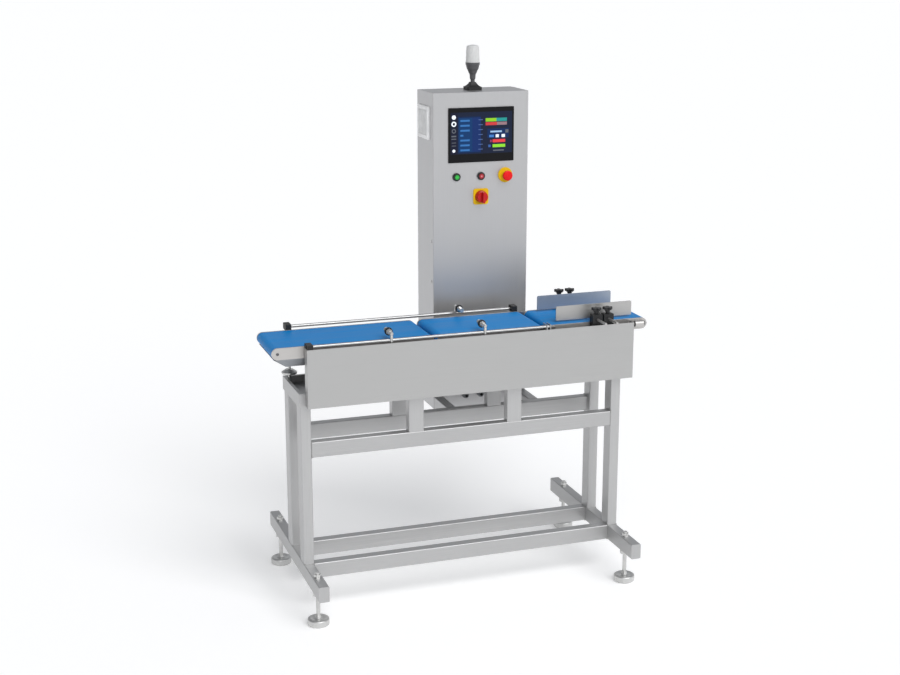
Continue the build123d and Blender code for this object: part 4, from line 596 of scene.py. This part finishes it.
# %% Assign the finishes
DRESS = {
    tube_x: ["cross_rails", "top_tray"],
    tube_y: ["foot_bars", "cabinet_arms"],
    tube_z: ["uprights", "door_hinges"],
    sheet_steel: ["front_cover", "mounting_plate"],
    cabinet_steel: ["cabinet_shell", "cabinet_door"],
    pan_steel_painted_shade: ["conveyor_pans"],
    side_plate_steel: ["infeed_frame", "weigh_frame", "outfeed_frame"],
    rear_guide_steel_painted_shade: ["guide_plate_rear"],
    front_guide_steel: ["guide_plate_front"],
    polished_rod: ["guide_rods", "roller_axles"],
    fastener: ["foot_nuts", "conveyor_feet", "side_screws", "door_lock"],
    foot_steel: ["levelling_foot_front_left", "levelling_foot_front_right", "levelling_foot_rear_left",
                 "levelling_foot_rear_right"],
    turned_aluminium: ["infeed_roller_left", "infeed_roller_right", "weigh_roller_left", "weigh_roller_right",
                       "outfeed_roller_left", "outfeed_roller_right"],
    milled_aluminium: ["weigh_cell"],
    black_plastic: ["clamp_blocks", "beacon_base", "sensor_infeed", "sensor_weigh_front", "sensor_weigh_rear"],
    knob_plastic: ["star_knob_front_left", "star_knob_front_right", "star_knob_rear_left",
                   "star_knob_rear_right"],
    bezel_plastic: ["hmi_housing"],
    collar_plastic: ["button_collars"],
    gland_plastic: ["cable_glands"],
    beacon_grey: ["beacon_body"],
    filter_plastic: ["filter_frame"],
    device_plastic: ["control_gear"],
    green_plastic: ["green_button"],
    red_plastic: ["red_button"],
    stop_red: ["estop_button"],
    switch_red: ["switch_knob"],
    warning_yellow: ["estop_base", "switch_plate"],
    blue_belt: ["infeed_belt", "weigh_belt", "outfeed_belt"],
    lens_plastic: ["beacon_lens"],
    filter_fleece: ["filter_mat"],
    display_page: ["hmi_screen"],
}
dressed = set()
for material, names in DRESS.items():
    for name in names:
        for slot in nodes[name].material_slots:
            slot.material = material
        dressed.add(name)
print("pieces without a finish:", sorted(set(nodes) - dressed))

# %% [markdown]
# ## A helper for turned pieces
# Screws, nuts, sensors and sockets are turned on a lathe, so the natural way to make them is to draw half of
# their outline and spin it round their axis. The outline grows from one point by extruding it step by step,
# as one would do by hand. Spun in six steps the same outline gives a hexagon, which is how the nuts are made.

# %% Turn an outline round an axis
SPIN_AXES = {"X": (1, 0, 0), "Y": (0, 1, 0), "Z": (0, 0, 1)}


def outline_point(axis, centre, along, radius):
    """A point of the outline, at a place along the axis and a distance from it."""
    x, y, z = centre
    places = {"X": (x + along, y, z + radius), "Y": (x, y + along, z + radius), "Z": (x + radius, y, z + along)}
    return places[axis]


def turned(name, centre, axis, outline, steps, finish):
    """Spin an outline of (place along the axis, radius) pairs into a closed piece with its mesh in place."""
    deselect()
    first = outline_point(axis, centre, *outline[0])
    bpy.ops.mesh.primitive_plane_add(size=0.001, location=first)
    piece = bpy.context.object
    piece.name = name
    bpy.ops.object.mode_set(mode="EDIT")
    bpy.ops.mesh.select_all(action="SELECT")
    bpy.ops.mesh.merge(type="CENTER")
    here = first
    for along, radius in outline[1:]:
        there = outline_point(axis, centre, along, radius)
        step = tuple(b - a for a, b in zip(here, there))
        bpy.ops.mesh.extrude_region_move(TRANSFORM_OT_translate={"value": step})
        here = there
    bpy.ops.mesh.select_all(action="SELECT")
    bpy.ops.mesh.spin(steps=steps, angle=2 * pi, center=centre, axis=SPIN_AXES[axis], use_auto_merge=True)
    bpy.ops.mesh.select_all(action="SELECT")
    bpy.ops.mesh.remove_doubles(threshold=0.00001)
    bpy.ops.mesh.normals_make_consistent(inside=False)
    bpy.ops.object.mode_set(mode="OBJECT")
    bpy.ops.object.transform_apply(location=True, rotation=True, scale=True)
    bpy.ops.object.shade_smooth_by_angle(angle=radians(32))
    piece.data.materials.append(finish)
    return piece


def joined(name, pieces):
    """Make one piece of several that keep their finishes."""
    deselect()
    for piece in pieces:
        piece.select_set(True)
    bpy.context.view_layer.objects.active = pieces[0]
    bpy.ops.object.join()
    whole = bpy.context.object
    whole.name = name
    return whole


print("turning helper ready")

# %% [markdown]
# ## The three round sensors
# Each belt entry is watched by a round sensor: a threaded steel barrel that looks across the belt, held in a
# black ring by a nut on each side, with a right-angled plug behind. The measured model has it as one plain
# solid. Here it is modelled again with its thread, and the plain one is hidden. The thread is a row of small
# ridges in the outline, not a helix: at this size nobody sees the pitch climb, and a spun outline stays light.

# %% Size of a sensor, from its measured box
SENSOR_LOW, SENSOR_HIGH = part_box("sensor_infeed")
SENSOR_X = (SENSOR_LOW[0] + SENSOR_HIGH[0]) / 2
SENSOR_Z = SENSOR_HIGH[2] - 15 * MM
FACE_Y = SENSOR_HIGH[1]
BACK_Y = SENSOR_LOW[1]
BARREL_RADIUS = 9 * MM
THREAD_ROOT = 8.35 * MM
THREAD_PITCH = 1.5 * MM
THREAD_RIDGES = 34
print("sensor face at", round(FACE_Y, 4), "back at", round(BACK_Y, 4), "axis height", round(SENSOR_Z, 4))

# %% Barrel with its thread
SENSOR_CENTRE = (SENSOR_X, FACE_Y, SENSOR_Z)
barrel_outline = [(0, 0), (0, 7.4 * MM), (-1.2 * MM, 8.4 * MM)]
for ridge in range(THREAD_RIDGES):
    start = -2.0 * MM - ridge * THREAD_PITCH
    barrel_outline.append((start, THREAD_ROOT))
    barrel_outline.append((start - 0.55 * MM, BARREL_RADIUS))
    barrel_outline.append((start - 0.75 * MM, BARREL_RADIUS))
barrel_outline += [(-54 * MM, THREAD_ROOT), (-58 * MM, THREAD_ROOT), (-58 * MM, 0)]
barrel = turned("sensor_barrel", SENSOR_CENTRE, "Y", barrel_outline, 28, fastener)
print("barrel faces:", len(barrel.data.polygons))

# %% Ring and nuts
ring_outline = [(-30 * MM, BARREL_RADIUS), (-30 * MM, 13.6 * MM), (-31.4 * MM, 15 * MM), (-40.6 * MM, 15 * MM),
                (-42 * MM, 13.6 * MM), (-42 * MM, BARREL_RADIUS), (-30 * MM, BARREL_RADIUS)]
ring = turned("sensor_ring", SENSOR_CENTRE, "Y", ring_outline, 36, black_plastic)
NUT_STARTS = (-25.8, -42.2)
nuts = []
for start in NUT_STARTS:
    nut_outline = [(start * MM, BARREL_RADIUS), (start * MM, 11.2 * MM), ((start - 0.6) * MM, 12 * MM),
                   ((start - 3.4) * MM, 12 * MM), ((start - 4.0) * MM, 11.2 * MM),
                   ((start - 4.0) * MM, BARREL_RADIUS), (start * MM, BARREL_RADIUS)]
    nuts.append(turned("sensor_nut", SENSOR_CENTRE, "Y", nut_outline, 6, fastener))
print("ring and", len(nuts), "nuts")

# %% Right-angled plug and the start of its lead
plug_outline = [(-58 * MM, 0), (-58 * MM, 7.6 * MM), (-64 * MM, 7.6 * MM), (-65 * MM, 6.5 * MM),
                (-78.5 * MM, 6.5 * MM), (-80.5 * MM, 4.5 * MM), (-80.5 * MM, 0)]
plug = turned("sensor_plug", SENSOR_CENTRE, "Y", plug_outline, 28, fastener)
drop_outline = [(0, 0), (0, 5.4 * MM), (-9 * MM, 5.4 * MM), (-10 * MM, 6.2 * MM), (-19 * MM, 6.2 * MM),
                (-20 * MM, 4.6 * MM), (-31.5 * MM, 4.4 * MM), (-31.5 * MM, 0)]
drop = turned("sensor_drop", (SENSOR_X, FACE_Y - 74 * MM, SENSOR_Z), "Z", drop_outline, 24, fastener)
infeed_sensor = joined("infeed_sensor_detailed", [barrel, ring, *nuts, plug, drop])
low = [min(v.co[i] for v in infeed_sensor.data.vertices) for i in range(3)]
high = [max(v.co[i] for v in infeed_sensor.data.vertices) for i in range(3)]
print("measured", [round(c, 4) for c in (*SENSOR_LOW, *SENSOR_HIGH)])
print("detailed", [round(c, 4) for c in (*low, *high)])

# %% Copy it to the weighing belt, front and rear
def centre_of(node):
    """The middle of a measured piece's box."""
    low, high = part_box(node)
    return tuple((a + b) / 2 for a, b in zip(low, high))


def copied(piece, name, shift, turn=0.0, about=(0, 0, 0)):
    """A copy with its own mesh, turned about an upright axis and moved, with its place put into the mesh."""
    deselect()
    piece.select_set(True)
    bpy.context.view_layer.objects.active = piece
    bpy.ops.object.duplicate()
    copy = bpy.context.object
    copy.name = name
    bpy.ops.object.mode_set(mode="EDIT")
    bpy.ops.mesh.select_all(action="SELECT")
    bpy.ops.transform.translate(value=tuple(-c for c in about))
    bpy.ops.object.mode_set(mode="OBJECT")
    copy.rotation_euler = (0, 0, turn)
    copy.location = tuple(a + s for a, s in zip(about, shift))
    bpy.ops.object.transform_apply(location=True, rotation=True, scale=True)
    return copy


middle = centre_of("sensor_infeed")
front_place = centre_of("sensor_weigh_front")
rear_place = centre_of("sensor_weigh_rear")
weigh_sensor_front = copied(infeed_sensor, "weigh_sensor_front_detailed",
                            tuple(a - b for a, b in zip(front_place, middle)))
weigh_sensor_rear = copied(infeed_sensor, "weigh_sensor_rear_detailed",
                           tuple(a - b for a, b in zip(rear_place, middle)), turn=pi, about=middle)
for piece, body, node in ((infeed_sensor, "infeed_sensor", "sensor_infeed"),
                          (weigh_sensor_front, "weigh_sensor_front", "sensor_weigh_front"),
                          (weigh_sensor_rear, "weigh_sensor_rear", "sensor_weigh_rear")):
    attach(piece, body)
    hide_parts(node)
print("sensors in place: 3")

# %% [markdown]
# ## Screws at the roller axles
# Every roller axle is held by a cap screw in its side plate. The screws are too small for the measured
# model. One is turned with its socket, and copied to the twelve axle ends, where a dark dot shows in the
# side plate.

# %% Turn one cap screw and copy it to the axle ends
axle_low, axle_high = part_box("roller_axles")
AXLE_Z = (axle_low[2] + axle_high[2]) / 2
FRONT_PLATE_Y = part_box("infeed_frame")[0][1]
REAR_PLATE_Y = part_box("infeed_frame")[1][1]
ROLLERS = ("infeed_roller_left", "infeed_roller_right", "weigh_roller_left", "weigh_roller_right",
           "outfeed_roller_left", "outfeed_roller_right")
screw_outline = [(0.5 * MM, 0), (0.5 * MM, 5.4 * MM), (-0.6 * MM, 5.4 * MM), (-2.6 * MM, 4.9 * MM),
                 (-3.0 * MM, 4.3 * MM), (-3.0 * MM, 2.4 * MM), (-0.9 * MM, 2.4 * MM), (-0.9 * MM, 0)]
first_x = centre_of(ROLLERS[0])[0]
axle_screw = turned("axle_screw", (first_x, FRONT_PLATE_Y, AXLE_Z), "Y", screw_outline, 24, dark_screw)
axle_screws = []
for number, roller in enumerate(ROLLERS):
    shift = centre_of(roller)[0] - first_x
    axle_screws.append(copied(axle_screw, f"axle_screw_front_{number}", (shift, 0, 0)))
    axle_screws.append(copied(axle_screw, f"axle_screw_rear_{number}", (shift, REAR_PLATE_Y - FRONT_PLATE_Y, 0),
                              turn=pi, about=(first_x, FRONT_PLATE_Y, AXLE_Z)))
deselect()
axle_screw.select_set(True)
bpy.ops.object.delete()
axle_screws = joined("axle_screws", axle_screws)
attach(axle_screws, "frame")
print("axle screws: 12, faces:", len(axle_screws.data.polygons))

# %% [markdown]
# ## Belt tensioners
# At the outfeed end a turned barrel on each side holds the pointed screw that tightens the belt. The measured
# barrels are plain, so a dark washer goes on the inner face, its blackened finish painted shade on the barrel's
# inner end, and a lock nut where the screw comes out. Both are turned once and copied to the rear barrel.

# %% Washer and lock nut of a tensioner
OUTFEED_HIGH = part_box("outfeed_frame")[1]
BARREL_Z = 1025.5 * MM
BARREL_START_X = 691 * MM
BARREL_END_X = 729 * MM
FRONT_BARREL_Y = -211 * MM
REAR_BARREL_Y = 81 * MM
shade_washer_outline = [(0, 4.5 * MM), (0, 10 * MM), (-0.8 * MM, 10.6 * MM), (-1.6 * MM, 10 * MM),
                  (-1.6 * MM, 4.5 * MM), (0, 4.5 * MM)]
nut_outline = [(0, 5 * MM), (0, 9.2 * MM), (0.6 * MM, 10 * MM), (4.4 * MM, 10 * MM), (5 * MM, 9.2 * MM),
               (5 * MM, 5 * MM), (0, 5 * MM)]
shade_washer_place = (BARREL_START_X, FRONT_BARREL_Y, BARREL_Z)
lock_nut_place = (BARREL_END_X, FRONT_BARREL_Y, BARREL_Z)
# The washer is a real fitting, but its blackened finish is painted shade on the barrel's inner end.
shade_washer = turned("tensioner_shade_washer", shade_washer_place, "X", shade_washer_outline, 28, dark_screw)
lock_nut = turned("tensioner_nut", lock_nut_place, "X", nut_outline, 6, dark_screw)
front_tensioner = joined("tensioner_fittings_front", [shade_washer, lock_nut])
rear_tensioner = copied(front_tensioner, "tensioner_fittings_rear", (0, REAR_BARREL_Y - FRONT_BARREL_Y, 0))
for piece in (front_tensioner, rear_tensioner):
    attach(piece, "frame")
print("tensioner fittings: 2, outfeed frame ends at", round(OUTFEED_HIGH[0], 4))

# %% [markdown]
# ## Weld beads of the stand
# The stand is welded where an upright meets its foot bar and where a rail meets an upright. A bead is a thin
# rope of metal laid along the joint. The outline of the joint is measured from the piece that ends there, a
# rectangle of that size is laid in the joint, and its edge is given a round section. The ripples of the weld
# are a bump, because they are less than half a millimetre high.

# %% Weld metal
def weld_metal():
    """Pickled weld bead with ripples."""
    material, tree, shader = start_material("weld_bead")
    ripples = stretched_noise(tree, (520.0, 520.0, 520.0), detail=2.0)
    tone = blend_colours(tree, to_range(tree, ripples, 0, 1), (0.30, 0.30, 0.30), (0.50, 0.50, 0.49))
    tree.links.new(tone, shader.inputs["Base Color"])
    shader.inputs["Metallic"].default_value = 0.9
    tree.links.new(to_range(tree, ripples, 0.34, 0.52), shader.inputs["Roughness"])
    add_bump(tree, shader, ripples, 0.0004)
    return material


weld_bead = weld_metal()
print("weld metal ready")

# %% Measure where the welded pieces end
def end_corners(node, axis, at_high, tolerance=0.0006):
    """Corners of a measured piece that lie at its lowest or highest place along an axis."""
    places = [vertex.co.copy() for vertex in nodes[node].data.vertices]
    edge = max(p[axis] for p in places) if at_high else min(p[axis] for p in places)
    return edge, [p for p in places if abs(p[axis] - edge) < tolerance]


def grouped(places, axis, gap=0.09):
    """Split places into groups that stand well apart along an axis."""
    groups = []
    for place in sorted(places, key=lambda p: p[axis]):
        if groups and place[axis] - groups[-1][-1][axis] < gap:
            groups[-1].append(place)
        else:
            groups.append([place])
    return groups


upright_foot_z, foot_corners = end_corners("uprights", 2, False)
joints = []
for column in grouped(foot_corners, 0):
    for foot in grouped(column, 1):
        xs, ys = [p.x for p in foot], [p.y for p in foot]
        joints.append(("Z", upright_foot_z, (min(xs), max(xs)), (min(ys), max(ys))))
for at_high in (False, True):
    end_x, rail_corners = end_corners("cross_rails", 0, at_high)
    for row in grouped(rail_corners, 2):
        for rail in grouped(row, 1):
            ys, zs = [p.y for p in rail], [p.z for p in rail]
            joints.append(("X", end_x, (min(ys), max(ys)), (min(zs), max(zs))))
print("welded joints:", len(joints))
for joint in joints:
    print(joint[0], [round(v, 3) for v in (joint[1], *joint[2], *joint[3])])

# %% Lay the beads
BEAD_RADIUS = 1.8 * MM
beads = []
for number, (facing, place, first, second) in enumerate(joints):
    middle = ((first[0] + first[1]) / 2, (second[0] + second[1]) / 2)
    size = (first[1] - first[0], second[1] - second[0])
    deselect()
    if facing == "Z":
        bpy.ops.mesh.primitive_plane_add(size=1, location=(middle[0], middle[1], place))
        bpy.context.object.scale = (size[0], size[1], 1)
    else:
        upright = (0, pi / 2, 0)
        bpy.ops.mesh.primitive_plane_add(size=1, location=(place, *middle), rotation=upright)
        bpy.context.object.scale = (size[1], size[0], 1)
    bpy.ops.object.transform_apply(location=True, rotation=True, scale=True)
    bpy.ops.object.mode_set(mode="EDIT")
    bpy.ops.mesh.select_all(action="SELECT")
    bpy.ops.mesh.delete(type="ONLY_FACE")
    bpy.ops.object.mode_set(mode="OBJECT")
    bpy.ops.object.convert(target="CURVE")
    bead = bpy.context.object
    bead.data.bevel_depth = BEAD_RADIUS
    bead.data.bevel_resolution = 2
    bpy.ops.object.convert(target="MESH")
    bead = bpy.context.object
    bead.name = f"weld_{number}"
    bead.data.materials.clear()
    bead.data.materials.append(weld_bead)
    bpy.ops.object.shade_smooth_by_angle(angle=radians(50))
    beads.append(bead)
weld_beads = joined("weld_beads", beads)
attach(weld_beads, "frame")
print("weld beads:", len(joints), "faces:", len(weld_beads.data.polygons))

# %% [markdown]
# ## Close the scene

# %% Finish
print("scene finished")
